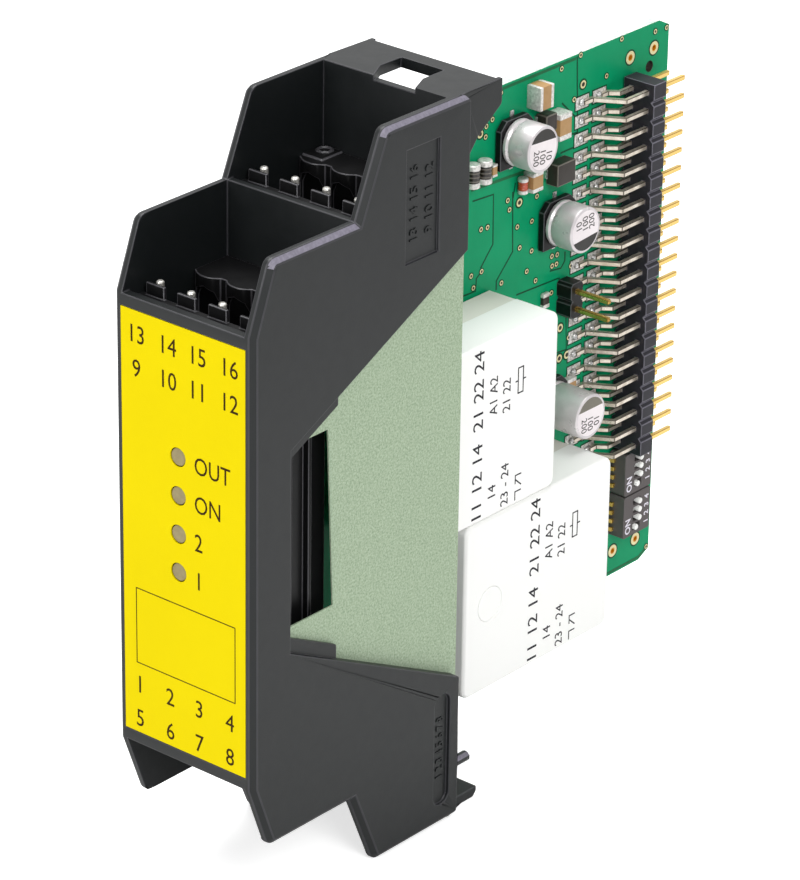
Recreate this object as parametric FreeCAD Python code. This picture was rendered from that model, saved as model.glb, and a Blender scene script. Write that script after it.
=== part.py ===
"""Safety relay module: the front of a narrow DIN-rail housing with its circuit board.

X runs across the module, Y runs back from the label and Z runs up. Zero is the middle of the
label face. Lengths are in millimetres. The module has an upper and a lower half that mirror
each other about Z = 0, apart from the gussets, the pegs and the parts on the board.
"""
import math
import os
from collections import namedtuple

import FreeCAD
import Part

V = FreeCAD.Vector
MIDDLE = V(0, 0, 0)
TOUCH = 0.001                # nearer than this counts as touching
OVERCUT = 1.0                # how far a cutting shape stands out of what it cuts

# ---- housing -----------------------------------------------------------------------------
WIDTH = 22.5                 # one 22.5 mm wide rail module
HEIGHT = 99.0
WALL = 1.5                   # side wall
OUTER_SKIN = 0.8             # the outer layer of a side wall; the rest is the inner layer
WALL_REAR = 39.0             # rear edge of the side walls, where the rear housing joins
EDGE_BEVEL = 0.75
CORNER_R = 1.4
REAR_CORNER_R = 1.0
FACE_DROP = 19.55            # from the top down to the front face
FRONT_SLOPE = 3.4            # depth of the slope from the face up to the first tier
TIER_DROP = 10.6             # from the top down to the first tier
STEP_START = 18.6            # the side wall rises from the first tier here ...
STEP_END = 23.2              # ... to full height here
WING_Y = 6.75                # rear edge of the front strip, where the wings begin
WING_Z = 13.5
WING_REAR_DROP = 20.2
LEDGE = 1.95                 # how far the inner layer stands out past the wing edge
LEDGE_REAR = 16.1
PANEL = 1.3                  # front panel
BAY_WALL = 1.0               # rear wall of each terminal bay
TOP_PLATE = 1.4
UPPER_WALL_Y = 36.1          # front face of the rear bay's rear wall
UPPER_PLATE_REAR = 46.0
LOWER_PLATE_REAR = 44.8
PLATE_TAPER = 0.65
NOTCH_MOUTH = (-1.7, 4.8)    # the latch notch in the plate: its mouth, its inner width ...
NOTCH_INNER = (-3.25, 3.45)
NOTCH_SHOULDER = 39.15       # ... where the shoulders end, and its rear edge
NOTCH_REAR = 43.05
NOTCH_WALL_DROP = 0.7
GUSSET_REAR = 45.9
GUSSET_DROP = 3.3
GUSSET_R = 0.8
GUSSET_FOOT = 7.3            # from the top down to the gusset's foot
GUSSET_WAIST = (2.4, 0.9, 1.5)   # back and up from the foot, and its radius
GUSSET_ROOT = (1.0, 2.0)     # how far it runs into the side wall, forwards and down
PEG_R = 0.7
PEG_INSET = 0.8              # from the outer face of the side wall to the peg's middle
PEG_RISE = 7.5               # from the bottom up to the peg
PEG_LENGTH = 2.6
RECESS_Y = (27.2, 33.35)     # shallow marking recess, upper wing of the right side
RECESS_DROP = (18.65, 3.9)   # from the top down to its lower and upper edge
RECESS_DEPTH = 0.35
SLOT_Y = (34.3, 37.3)        # round-ended marking slot, lower wing of the right side
SLOT_RISE = (3.0, 18.9)      # from the bottom up to its ends
SLOT_DEPTH = 0.5

HALF = WIDTH / 2
TOP = HEIGHT / 2
FACE_HALF = TOP - FACE_DROP
TIER_HALF = TOP - TIER_DROP
WING_REAR_Z = TOP - WING_REAR_DROP
INSIDE = HALF - WALL
SKIN_X = HALF - OUTER_SKIN

# ---- label and lamps ---------------------------------------------------------------------
LABEL_SIDE = 1.3             # from the label to the side of the housing
LABEL_END = 1.65             # from the label to the end of the front face
LABEL_THICKNESS = 0.25
LABEL_GAP = 0.05
LAMP_X = -0.85
LAMP_SHARE = 0.3756          # the top lamp, as a share of the half height of the face
LAMP_PITCH = 5.1
LAMP_COUNT = 4
LAMP_R = 1.15
LAMP_GAP = 0.1
LAMP_LENGTH = 4.8
LAMP_FLANGE_R = 1.45
LAMP_FLANGE = 0.8
LAMP_LEG = 0.5
LAMP_LEG_SPREAD = 1.27
LAMP_LEG_BEND_Y = 8.2
CARRIER_Y = 5.4              # front face of the carrier's cross wall, behind the lamps
CARRIER_WALL = 1.0
CARRIER_X = (6.0, 7.2)       # the carrier's long wall, beside the window in the sheet
CARRIER_REAR = 17.4
CARRIER_SHARE = (0.454, 0.5075)  # the carrier's lower and upper end, as the same share
CARRIER_RIBS = [(9.8, 10.5), (13.4, 14.0)]
CARRIER_RIB = 0.9
CARRIER_LEG_GAP = 0.15

LABEL_HALF_WIDTH = HALF - LABEL_SIDE
LABEL_HALF_HEIGHT = FACE_HALF - LABEL_END
LAMP_TOP_Z = FACE_HALF * LAMP_SHARE
CARRIER_Z = (-FACE_HALF * CARRIER_SHARE[0], FACE_HALF * CARRIER_SHARE[1])

# ---- circuit board -----------------------------------------------------------------------
BOARD_X = -4.62              # component side; the board is upright and faces +X
BOARD_THICKNESS = 1.6
BOARD_FRONT = 2.6
BOARD_REAR = 99.34
BOARD_PROUD = 0.65           # how far the board stands past the first tier, up and down
BOARD_CORNER = (2.2, 1.1)
BOARD_GAP = 0.35             # between the board's edge and the housing walls
SOLDER_REACH = 1.2           # how far leads stand out of the solder side
LEAD_GAP = 0.02              # round a lead in its solder-filled hole
PLATED_HOLE_R = 0.63
PLATED_HOLE_Y = (91.1, 96.15)
PLATED_HOLE_INSET = 3.59
LOCATING_HOLE_R = 0.75
LOCATING_HOLE = (95.3, 33.6)

BOARD_HALF = TIER_HALF + BOARD_PROUD
PLATED_HOLE_Z = BOARD_HALF - PLATED_HOLE_INSET

# ---- insulating sheet --------------------------------------------------------------------
SHEET_THICKNESS = 0.25
SHEET_GAP = 0.05
SHEET_REAR = 40.1
SHEET_EDGE_GAP = 0.3
SHEET_WINDOW = [(2.6, -11.0), (16.2, -11.0), (15.1, 13.0), (2.6, 13.0)]

# ---- terminal headers --------------------------------------------------------------------
# front: where the header starts; rail, tab, pin, block and back: along Y; top: height of rail
HEADER_SHY = (1.0, 0.85)         # front and rear rail below the end of their tier
Tier = namedtuple("Tier", "name front tab pin block back top marked")
FRONT_TIER = Tier("front", PANEL, 3.4, 4.35, 11.8, STEP_START,
                  FACE_HALF - HEADER_SHY[0], False)
REAR_TIER = Tier("rear", STEP_START + BAY_WALL, 21.5, 22.75, 30.7, UPPER_WALL_Y,
                 TIER_HALF - HEADER_SHY[1], True)
POLES = [-7.5, -2.5, 2.5, 7.5]
HEADER_DEPTH = 7.6
HEADER_FLOOR = 1.8
TAB_WIDTH = 2.9
TAB_THICKNESS = 0.45
TAB_HEIGHT = 1.6
BLOCK_RISE = 0.1
LOBE_R = 2.75
LOBE_BULGE = 0.9
NICHE_R = 1.95
NICHE_BAND = 1.35
NICHE_DEPTH = 1.3
MARK_STRIP = 3.2
MARK_RISE = 0.2
MARK_SETBACK = 0.6           # from the block's front to the strip
MARK_RING_AT = (1.4, 1.3)    # from the block's left and rear
MARK_RING_R = 1.0
MARK_RING = 0.25
CONTACT_R = 0.5
CONTACT_RISE = 1.9
CONTACT_GAP = 0.03
TAIL = 0.6                   # square section of a contact's tail
TAIL_FIRST = 1.5
TAIL_PITCH = 1.1

# ---- relays ------------------------------------------------------------------------------
Relay = namedtuple("Relay", "name rear top")
RELAYS = [Relay("upper", 63.4, 12.2), Relay("lower", 75.6, -12.6)]
RELAY_LENGTH = 30.0
RELAY_HEIGHT = 24.7          # along Z
RELAY_FACE = 6.58            # outer face, +X
RELAY_SEAM = 0.08
RELAY_R = 1.3
RELAY_BEVEL = 0.35
RELAY_STANDOFF = 0.3
RELAY_BASE_INSET = 0.12
RELAY_BASE_BEVEL = 0.78
RELAY_FOOT = 2.4
RELAY_FOOT_HALF = 0.8
RELAY_PIN = (0.8, 0.4)
RELAY_PIN_ROWS = [4.4, 20.3]             # from the lower face, along Z
RELAY_PIN_COLUMNS = [3.0, 14.0, 25.0]    # from the rear face, along Y
DIMPLE_R = 2.4
DIMPLE_DEPTH = 0.15
DIMPLE = (24.9, 12.4)        # from the rear and the top of the lower relay

# ---- round capacitors --------------------------------------------------------------------
Can = namedtuple("Can", "name y z height")
CANS = [Can("upper", 66.5, 31.6, 5.4), Can("middle", 75.8, 17.7, 5.4), Can("lower", 75.2, -7.9, 7.7)]
CAN_R = 3.15
CAN_BASE = 6.6
CAN_BASE_HEIGHT = 0.9
CAN_BASE_CORNER = 1.2
CAN_BEVEL = 0.3
CAN_GROOVE = 0.3             # how far and how high the foot is drawn in
CAN_GROOVE_AT = 0.7
CAN_LEAD = (0.2, 1.4, 0.7)   # thickness, length past the base, width
CAN_LEAD_START = 0.8         # from the can's middle

# ---- chip parts: centre y, centre z, length y, length z, height --------------------------
CERAMICS = [(70.95, 36.6, 2.7, 3.2, 2.3), (75.0, 31.5, 2.4, 3.6, 2.3), (70.35, 25.05, 2.1, 2.7, 1.7),
            (62.5, 28.7, 0.9, 1.7, 0.9), (79.65, -7.3, 1.9, 2.8, 1.0)]
MOULDED = [(72.4, 32.65, 2.4, 2.5, 2.0), (75.55, 24.9, 3.9, 3.2, 2.2)]
RESISTORS = [(74.2, 6.9, 1.3, 2.1, 0.55)]

# Round diodes: centre y, centre z, length along Z, diameter.
ROUND_DIODES = [(57.9, 29.4, 3.2, 1.9), (60.3, 29.3, 3.2, 1.9), (68.4, 24.9, 2.2, 1.4)]

# ---- bus pin header ----------------------------------------------------------------------
PITCH = 2.54
HEADER_PINS = 21
TOP_PIN_Z = 32.57
PIN = 0.64
NEAR_ROW_X = -0.52
PIN_TIP_Y = 97.5
PIN_TIP_BEVEL = 0.18
BODY_Y = (89.5, 92.1)
BODY_X = (-4.3, 0.75)
BODY_NOTCH = (0.45, 0.9)     # depth and width of the notch between two segments
NEAR_LEG = (85.1, 82.8, 80.9)   # where a near-row leg starts to slope, lands and ends
FAR_LEG = (87.0, 86.0, 84.5)

# ---- jumper header -----------------------------------------------------------------------
JUMPER_Y = 78.15
JUMPER_Z = (5.03, 7.57)
JUMPER_BODY = 2.5
JUMPER_BEVEL = 0.4
JUMPER_TIP_X = 3.4

# ---- code switches -----------------------------------------------------------------------
Switch = namedtuple("Switch", "name bottom first_lever")
SWITCHES = [Switch("upper", -26.3, 1.35), Switch("lower", -32.7, 1.15)]
SWITCH_LENGTH = 6.2
SWITCH_Y = (89.4, 95.2)
SWITCH_TOP = -1.62
SWITCH_STANDOFF = 0.3
SWITCH_BEVEL = 0.2
LEVER_COUNT = 4
LEVER_PITCH = 1.25
LEVER_REST_Y = 92.65
LEVER_TRAVEL = 0.7
LEVER_R = 0.4
LEVER_RISE = 0.35
LEVER_FOOT = (1.3, 0.9, 0.6)    # along Y, along Z, along X
LEVER_GAP = 0.06
LEVER_LIP = 0.5
GULL = (0.25, 0.6, 1.3)         # lead thickness, width and reach
GULL_DROP = 0.3                 # from half the body's height down to the lead
GULL_BEND = (0.35, 0.2)         # how far the lead runs out, then how far it slopes out
LEVER_NECK = 0.1                # overlap of the opening and the channel under it


# ---- drawing helpers ---------------------------------------------------------------------
def box(x, y, z):
    """A block between two limits on each axis."""
    return Part.makeBox(x[1] - x[0], y[1] - y[0], z[1] - z[0], V(x[0], y[0], z[0]))


def rod(radius, start, end):
    """A round bar between two points."""
    return Part.makeCylinder(radius, (end - start).Length, start, end - start)


def prism(axis, points, low, high):
    """A flat outline carried along an axis. A point may hold a corner radius as a third value.

    The outline's two values are (Y, Z) for axis X, (X, Z) for axis Y and (X, Y) for axis Z.
    """
    place = {"X": lambda a, b: V(low, a, b), "Y": lambda a, b: V(a, low, b),
             "Z": lambda a, b: V(a, b, low)}[axis]
    carry = {"X": V(high - low, 0, 0), "Y": V(0, high - low, 0), "Z": V(0, 0, high - low)}[axis]
    corners = []
    for index, point in enumerate(points):
        here = place(*point[:2])
        if len(point) == 2:
            corners.append((here, here, None))
            continue
        back = (place(*points[index - 1][:2]) - here).normalize()
        ahead = (place(*points[(index + 1) % len(points)][:2]) - here).normalize()
        half_angle = back.getAngle(ahead) / 2
        reach = point[2] / math.tan(half_angle)
        crown = (back + ahead).normalize() * (point[2] / math.sin(half_angle) - point[2])
        corners.append((here + back * reach, here + ahead * reach, here + crown))
    edges = []
    for index, (start, end, crown) in enumerate(corners):
        if crown:
            edges.append(Part.Arc(start, crown, end).toShape())
        edges.append(Part.makeLine(end, corners[(index + 1) % len(corners)][0]))
    return Part.Face(Part.Wire(edges)).extrude(carry)


def ribbon(points, thickness):
    """The outline of a bent strip of even thickness along a centre line."""
    offsets = []
    for index, point in enumerate(points):
        before = points[max(index - 1, 0)]
        after = points[min(index + 1, len(points) - 1)]
        into = V(point[0] - before[0], point[1] - before[1], 0)
        out = V(after[0] - point[0], after[1] - point[1], 0)
        first = into.normalize() if into.Length else out.normalize()
        last = out.normalize() if out.Length else first
        mean = (first + last).normalize()
        half = thickness / 2 / mean.dot(first)
        offsets.append((-mean.y * half, mean.x * half))
    left = [(p[0] + o[0], p[1] + o[1]) for p, o in zip(points, offsets)]
    right = [(p[0] - o[0], p[1] - o[1]) for p, o in zip(points, offsets)]
    return left + right[::-1]


def octagon(a, b, inner_radius):
    """An eight-sided outline round a point, flat to flat twice the inner radius."""
    corner = inner_radius / math.cos(math.pi / 8)
    turns = [math.pi / 8 * (2 * index + 1) for index in range(8)]
    return [(a + corner * math.cos(turn), b + corner * math.sin(turn)) for turn in turns]


def flip(shape):
    """The same shape in the other half, below or above Z = 0."""
    return shape.mirror(MIDDLE, V(0, 0, 1))


def other_side(shape):
    """The same shape on the other side, left or right of X = 0."""
    return shape.mirror(MIDDLE, V(1, 0, 0))


def both_halves(shape):
    """The shape together with its mirror image in the other half."""
    return shape.fuse(flip(shape))


def both_sides(shape):
    """The shape together with its mirror image on the other side."""
    return shape.fuse(other_side(shape))


def mirror_outline(points):
    """A closed outline made of the points given for Z > 0 and their mirror image."""
    return points + [(point[0], -point[1], *point[2:]) for point in reversed(points)]


def rim_edges(solid):
    """The edges of a solid's outermost +X face."""
    outer = solid.BoundBox.XMax
    return [edge for edge in solid.Edges if edge.BoundBox.XMin > outer - TOUCH]


def upright_edges(solid):
    """The edges of a solid that run along X."""
    return [edge for edge in solid.Edges if edge.BoundBox.XLength > TOUCH]


def save(name, *solids):
    """Write one sub-part as its own STEP file."""
    shape = solids[0] if len(solids) == 1 else Part.makeCompound(list(solids))
    if len(solids) == 1:
        shape = shape.removeSplitter()
    shape.exportStep(f"parts/{name}.step")


# ---- housing -----------------------------------------------------------------------------
def wing_edge(y):
    """Height of the wing's slanted inner edge at a depth."""
    return WING_Z + (y - WING_Y) * (WING_REAR_Z - WING_Z) / (WALL_REAR - WING_Y)


def outer_edge_points():
    """The side wall's stepped outer edge, from the front face up and back."""
    return [(0, FACE_HALF), (FRONT_SLOPE, TIER_HALF, CORNER_R), (STEP_START, TIER_HALF),
            (STEP_END, TOP, CORNER_R), (WALL_REAR, TOP)]


def bevelled_skin():
    """The outer layer of the right side wall, with the bevel along its outer edges."""
    points = outer_edge_points() + [(WALL_REAR, WING_REAR_Z), (WING_Y, WING_Z)]
    skin = prism("X", mirror_outline(points), SKIN_X, HALF)
    outline = []
    for edge in skin.Edges:
        middle = edge.BoundBox.Center
        on_face = edge.BoundBox.XMin > HALF - TOUCH
        on_rear = middle.y > WALL_REAR - TOUCH
        if on_face and not on_rear and (middle.y < TOUCH or abs(middle.z) > FACE_HALF):
            outline.append(edge)
    return skin.makeChamfer(EDGE_BEVEL, outline)


def inner_layer():
    """The inner layer of the right side wall, with its ledge past the wing edge."""
    points = outer_edge_points() + [
        (WALL_REAR, WING_REAR_Z), (LEDGE_REAR, wing_edge(LEDGE_REAR)),
        (LEDGE_REAR, wing_edge(LEDGE_REAR) - LEDGE), (WING_Y, WING_Z - LEDGE)]
    return prism("X", mirror_outline(points), INSIDE, SKIN_X)


def rear_corner_cut():
    """What is taken off an upper rear corner of a side wall."""
    y = WALL_REAR
    room = 2 * REAR_CORNER_R
    points = [(y - room, TOP), (y, TOP, REAR_CORNER_R), (y, TOP - room), (y + OVERCUT, TOP - room),
              (y + OVERCUT, TOP + OVERCUT), (y - room, TOP + OVERCUT)]
    return prism("X", points, SKIN_X, HALF)


def plate(rear, half_width):
    """Top plate of the rear bay, with the latch notch cut from its front edge."""
    low = TOP - TOP_PLATE
    profile = [(UPPER_WALL_Y, low), (rear, low), (rear, TOP - PLATE_TAPER), (rear - PLATE_TAPER, TOP),
               (UPPER_WALL_Y, TOP)]
    tongue = prism("X", profile, -half_width, half_width)
    wall_y = (UPPER_WALL_Y, UPPER_WALL_Y + BAY_WALL)
    wall = box((-INSIDE, INSIDE), wall_y, (REAR_TIER.top - HEADER_DEPTH, TOP))
    (mouth_left, mouth_right), (left, right) = NOTCH_MOUTH, NOTCH_INNER
    notch = [(mouth_left, UPPER_WALL_Y), (left, NOTCH_SHOULDER), (left, NOTCH_REAR), (right, NOTCH_REAR),
             (right, NOTCH_SHOULDER), (mouth_right, UPPER_WALL_Y)]
    through = prism("Z", notch, low - OVERCUT, TOP + OVERCUT)
    keep = box((-INSIDE, INSIDE), wall_y, (low - OVERCUT, TOP - NOTCH_WALL_DROP))
    return tongue.fuse(wall).cut(through.cut(keep))


def gusset():
    """Web between the right side wall and the upper plate."""
    foot = TOP - GUSSET_FOOT
    waist_back, waist_up, waist_r = GUSSET_WAIST
    root_forward, root_down = GUSSET_ROOT
    points = [(WALL_REAR - root_forward, TOP), (GUSSET_REAR, TOP),
              (GUSSET_REAR, TOP - GUSSET_DROP, GUSSET_R),
              (WALL_REAR + waist_back, foot + waist_up, waist_r), (WALL_REAR, foot - root_down),
              (WALL_REAR - root_forward, foot - root_down)]
    return prism("X", points, INSIDE, SKIN_X)


def peg():
    """Locating peg on the rear edge of the right lower wing."""
    x, z = HALF - PEG_INSET, PEG_RISE - TOP
    return rod(PEG_R, V(x, WALL_REAR - GUSSET_ROOT[0], z), V(x, WALL_REAR + PEG_LENGTH, z))


def front_housing():
    """The one-piece housing front: two side walls, the face, the bay walls and the rear plates."""
    wall = bevelled_skin().fuse(inner_layer())
    wall = wall.cut(both_halves(rear_corner_cut()))
    wall = wall.fuse([gusset(), peg()])
    panel = box((-INSIDE, INSIDE), (0, PANEL), (-FACE_HALF, FACE_HALF))
    divider = box((-INSIDE, INSIDE), (STEP_START, STEP_START + BAY_WALL),
                  (FRONT_TIER.top - HEADER_DEPTH, TIER_HALF))
    shape = both_sides(wall).fuse([panel, both_halves(divider)])
    shape = shape.fuse([plate(UPPER_PLATE_REAR, INSIDE), flip(plate(LOWER_PLATE_REAR, INSIDE))])
    seat_x, seat_z = LABEL_HALF_WIDTH + LABEL_GAP, LABEL_HALF_HEIGHT + LABEL_GAP
    label_seat = box((-seat_x, seat_x), (-OVERCUT, LABEL_THICKNESS), (-seat_z, seat_z))
    half = LAMP_FLANGE_R
    windows = [box((LAMP_X - half, LAMP_X + half), (-OVERCUT, PANEL + OVERCUT), (z - half, z + half))
               for z in lamp_heights()]
    shape = shape.cut([label_seat] + windows)
    recess = box((HALF - RECESS_DEPTH, HALF + OVERCUT), RECESS_Y, [TOP - drop for drop in RECESS_DROP])
    (slot_front, slot_rear), (slot_low, slot_high) = SLOT_Y, [rise - TOP for rise in SLOT_RISE]
    end_r = (slot_rear - slot_front) / 2 - TOUCH
    corners = [(slot_front, slot_low, end_r), (slot_rear, slot_low, end_r), (slot_rear, slot_high, end_r),
               (slot_front, slot_high, end_r)]
    return shape.cut([recess, prism("X", corners, HALF - SLOT_DEPTH, HALF + OVERCUT)])


# ---- label, lamps and carrier ------------------------------------------------------------
def lamp_heights():
    """Heights of the lamps, from the top one down."""
    return [LAMP_TOP_Z - LAMP_PITCH * index for index in range(LAMP_COUNT)]


def label():
    """Printed film with a round window for each lamp."""
    sheet = box((-LABEL_HALF_WIDTH, LABEL_HALF_WIDTH), (0, LABEL_THICKNESS),
                (-LABEL_HALF_HEIGHT, LABEL_HALF_HEIGHT))
    windows = [rod(LAMP_R + LAMP_GAP, V(LAMP_X, -OVERCUT, z), V(LAMP_X, OVERCUT, z)) for z in lamp_heights()]
    return sheet.cut(windows)


def lamp(z):
    """A round lamp on a square foot; its face is flush with the label."""
    centre = V(LAMP_X, LABEL_THICKNESS / 2, z)
    body = rod(LAMP_R, centre, centre + V(0, LAMP_LENGTH, 0))
    half = LAMP_FLANGE_R - LAMP_GAP
    end = centre.y + LAMP_LENGTH
    flange = box((LAMP_X - half, LAMP_X + half), (end - LAMP_FLANGE, end), (z - half, z + half))
    return body.fuse(flange)


def lamp_legs():
    """Two bent wires behind each lamp, down into the board."""
    start = LABEL_THICKNESS / 2 + LAMP_LENGTH
    end_x = BOARD_X - BOARD_THICKNESS - SOLDER_REACH
    half = LAMP_LEG / 2
    outline = ribbon([(LAMP_X, start), (LAMP_X, LAMP_LEG_BEND_Y), (end_x, LAMP_LEG_BEND_Y)], LAMP_LEG)
    legs = []
    for z in lamp_heights():
        for side in (-1, 1):
            centre = z + side * LAMP_LEG_SPREAD
            legs.append(prism("Z", outline, centre - half, centre + half))
    return legs


def lamp_carrier():
    """Moulded spacer that holds the lamps' legs and closes the view into the housing."""
    cross = box((BOARD_X, CARRIER_X[1]), (CARRIER_Y, CARRIER_Y + CARRIER_WALL), CARRIER_Z)
    wall = box(CARRIER_X, (CARRIER_Y, CARRIER_REAR), CARRIER_Z)
    ribs = [box((CARRIER_X[1], CARRIER_X[1] + CARRIER_RIB), y, CARRIER_Z) for y in CARRIER_RIBS]
    foot = box((BOARD_X, CARRIER_X[1]), (CARRIER_REAR - CARRIER_WALL, CARRIER_REAR), CARRIER_Z)
    holes = []
    half = LAMP_LEG / 2 + CARRIER_LEG_GAP
    for z in lamp_heights():
        for side in (-1, 1):
            centre = z + side * LAMP_LEG_SPREAD
            holes.append(box((LAMP_X - half, LAMP_X + half),
                             (CARRIER_Y - OVERCUT, CARRIER_Y + CARRIER_WALL + OVERCUT),
                             (centre - half, centre + half)))
    return cross.fuse([wall, foot] + ribs).cut(holes)


# ---- terminal headers --------------------------------------------------------------------
def terminal_header(tier):
    """Header body for an upper bay: rail with tabs, deep well and a lobed block behind it."""
    bottom = tier.top - HEADER_DEPTH
    floor = bottom + HEADER_FLOOR
    rail_end = tier.tab + TAB_THICKNESS
    block_face = tier.block + LOBE_BULGE
    block_top = tier.top + BLOCK_RISE
    profile = [(tier.front, bottom), (tier.back, bottom), (tier.back, block_top), (block_face, block_top),
               (block_face, floor), (rail_end, floor), (rail_end, tier.top), (tier.front, tier.top)]
    body = prism("X", profile, -INSIDE, INSIDE)
    lobes, niches, tabs, holes = [], [], [], []
    for x in POLES:
        centre = tier.block + LOBE_R
        lobes.append(rod(LOBE_R, V(x, centre, floor), V(x, centre, block_top)))
        arch_z = block_top - NICHE_BAND - NICHE_R
        niche_y = (tier.block - OVERCUT, tier.block + NICHE_DEPTH)
        arch = [(x + NICHE_R * math.cos(math.pi / 4 * turn), arch_z + NICHE_R * math.sin(math.pi / 4 * turn))
                for turn in range(5)]
        niches.append(prism("Y", [(x + NICHE_R, floor)] + arch + [(x - NICHE_R, floor)], *niche_y))
        tabs.append(box((x - TAB_WIDTH / 2, x + TAB_WIDTH / 2), (tier.tab, rail_end),
                        (tier.top, tier.top + TAB_HEIGHT)))
        outline = octagon(x, tier.pin, CONTACT_R + CONTACT_GAP)
        holes.append(prism("Z", outline, bottom - OVERCUT, tier.top + OVERCUT))
    limits = box((-INSIDE, INSIDE), (tier.block - OVERCUT, tier.back), (floor, block_top))
    lobes = [lobe.common(limits) for lobe in lobes]
    body = body.fuse(lobes + tabs).cut(niches + holes)
    return body.fuse(header_marks(tier, block_top)) if tier.marked else body


def header_marks(tier, block_top):
    """Raised strip and ring on the left of a block's top."""
    left = -INSIDE
    strip = box((left, left + MARK_STRIP), (tier.block + LOBE_BULGE + MARK_SETBACK, tier.back),
                (block_top, block_top + MARK_RISE))
    centre = V(left + MARK_RING_AT[0], tier.back - MARK_RING_AT[1], block_top)
    top = centre + V(0, 0, 2 * MARK_RISE)
    ring = prism("Z", octagon(centre.x, centre.y, MARK_RING_R), centre.z, top.z)
    ring = ring.cut(prism("Z", octagon(centre.x, centre.y, MARK_RING_R - MARK_RING), centre.z, top.z))
    return [strip, ring]


def contacts(tier):
    """The four contact pins of an upper header, each with its tail bent into the board."""
    bottom = tier.top - HEADER_DEPTH
    tip = tier.top + CONTACT_RISE
    out = SOLDER_REACH + BOARD_THICKNESS
    pins = []
    for index, x in enumerate(POLES):
        post = prism("Z", octagon(x, tier.pin, CONTACT_R), bottom, tip)
        tail_z = tail_height(tier, index)
        end_x = BOARD_X - out if x > BOARD_X else BOARD_X - BOARD_THICKNESS + out
        tail = prism("Y", ribbon([(x, bottom), (x, tail_z), (end_x, tail_z)], TAIL), tier.pin - TAIL / 2,
                     tier.pin + TAIL / 2)
        pins.append(post.fuse(tail).removeSplitter())
    return pins


# ---- circuit board -----------------------------------------------------------------------
def board_outline():
    """Upper half of the board's stepped outline, from the front face back."""
    first = FRONT_TIER.top - HEADER_DEPTH - BOARD_GAP
    second = REAR_TIER.top - HEADER_DEPTH - BOARD_GAP
    back_y, down_z = BOARD_CORNER
    first_step = REAR_TIER.front + BOARD_GAP
    second_step = UPPER_WALL_Y + BAY_WALL + BOARD_GAP
    return [(BOARD_FRONT, first), (first_step, first), (first_step, second), (second_step, second),
            (second_step, BOARD_HALF), (BOARD_REAR - back_y, BOARD_HALF), (BOARD_REAR, BOARD_HALF - down_z)]


def lead_hole(y, z, along, up):
    """The place that a square or flat lead takes in the board, with its named gap."""
    half_along, half_up = along / 2 + LEAD_GAP, up / 2 + LEAD_GAP
    return box((BOARD_X - BOARD_THICKNESS - OVERCUT, BOARD_X + OVERCUT), (y - half_along, y + half_along),
               (z - half_up, z + half_up))


def tail_height(tier, index):
    """Height at which the tail of an upper contact enters the board."""
    return tier.top - HEADER_DEPTH - TAIL_FIRST - TAIL_PITCH * index


def lead_holes():
    """Places for every lead that goes through the board."""
    places = [(JUMPER_Y, z, PIN, PIN) for z in JUMPER_Z]
    for tier in (FRONT_TIER, REAR_TIER):
        for index in range(len(POLES)):
            places += [(tier.pin, side * tail_height(tier, index), TAIL, TAIL) for side in (-1, 1)]
    for relay in RELAYS:
        places += [(y, z, *RELAY_PIN) for y, z in relay_pin_places(relay)]
    for z in lamp_heights():
        for side in (-1, 1):
            places.append((LAMP_LEG_BEND_Y, z + side * LAMP_LEG_SPREAD, LAMP_LEG, LAMP_LEG))
    return [lead_hole(*place) for place in places]


def main_board():
    """The circuit board with its lead places, plated holes and locating hole."""
    solid = prism("X", mirror_outline(board_outline()), BOARD_X - BOARD_THICKNESS, BOARD_X)
    (y, z) = LOCATING_HOLE
    through = (BOARD_X - BOARD_THICKNESS - OVERCUT, BOARD_X + OVERCUT)
    holes = lead_holes() + [rod(LOCATING_HOLE_R, V(through[0], y, z), V(through[1], y, z))]
    for y in PLATED_HOLE_Y:
        for side in (-1, 1):
            outline = octagon(y, side * PLATED_HOLE_Z, PLATED_HOLE_R)
            holes.append(prism("X", outline, *through))
    return solid.cut(holes)


def insulating_sheet():
    """Thin sheet between the parts on the board and the right side wall."""
    right = INSIDE - SHEET_GAP
    first = FRONT_TIER.top - HEADER_DEPTH - SHEET_EDGE_GAP
    second = REAR_TIER.top - HEADER_DEPTH - SHEET_EDGE_GAP
    step = REAR_TIER.front + SHEET_EDGE_GAP
    points = [(PANEL + SHEET_EDGE_GAP, first), (step, first), (step, second), (SHEET_REAR, second)]
    sheet = prism("X", mirror_outline(points), right - SHEET_THICKNESS, right)
    return sheet.cut(prism("X", SHEET_WINDOW, right - OVERCUT, right + OVERCUT))


# ---- relays ------------------------------------------------------------------------------
def relay_corners(relay, inset):
    """The four corners of a relay's footprint, drawn in by an inset."""
    front, rear = relay.rear - RELAY_LENGTH + inset, relay.rear - inset
    low, high = relay.top - RELAY_HEIGHT + inset, relay.top - inset
    return [(front, low), (rear, low), (rear, high), (front, high)]


def relay_cover(relay):
    """Cover of a relay, with rounded upright edges and a bevelled rim."""
    corners = [(y, z, RELAY_R) for y, z in relay_corners(relay, 0)]
    cover = prism("X", corners, RELAY_SEAM, RELAY_FACE)
    cover = cover.makeChamfer(RELAY_BEVEL, rim_edges(cover))
    if relay is RELAYS[-1]:
        centre = V(RELAY_FACE - DIMPLE_DEPTH, relay.rear - DIMPLE[0], relay.top - DIMPLE[1])
        cover = cover.cut(rod(DIMPLE_R, centre, centre + V(OVERCUT, 0, 0)))
    return cover


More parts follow.
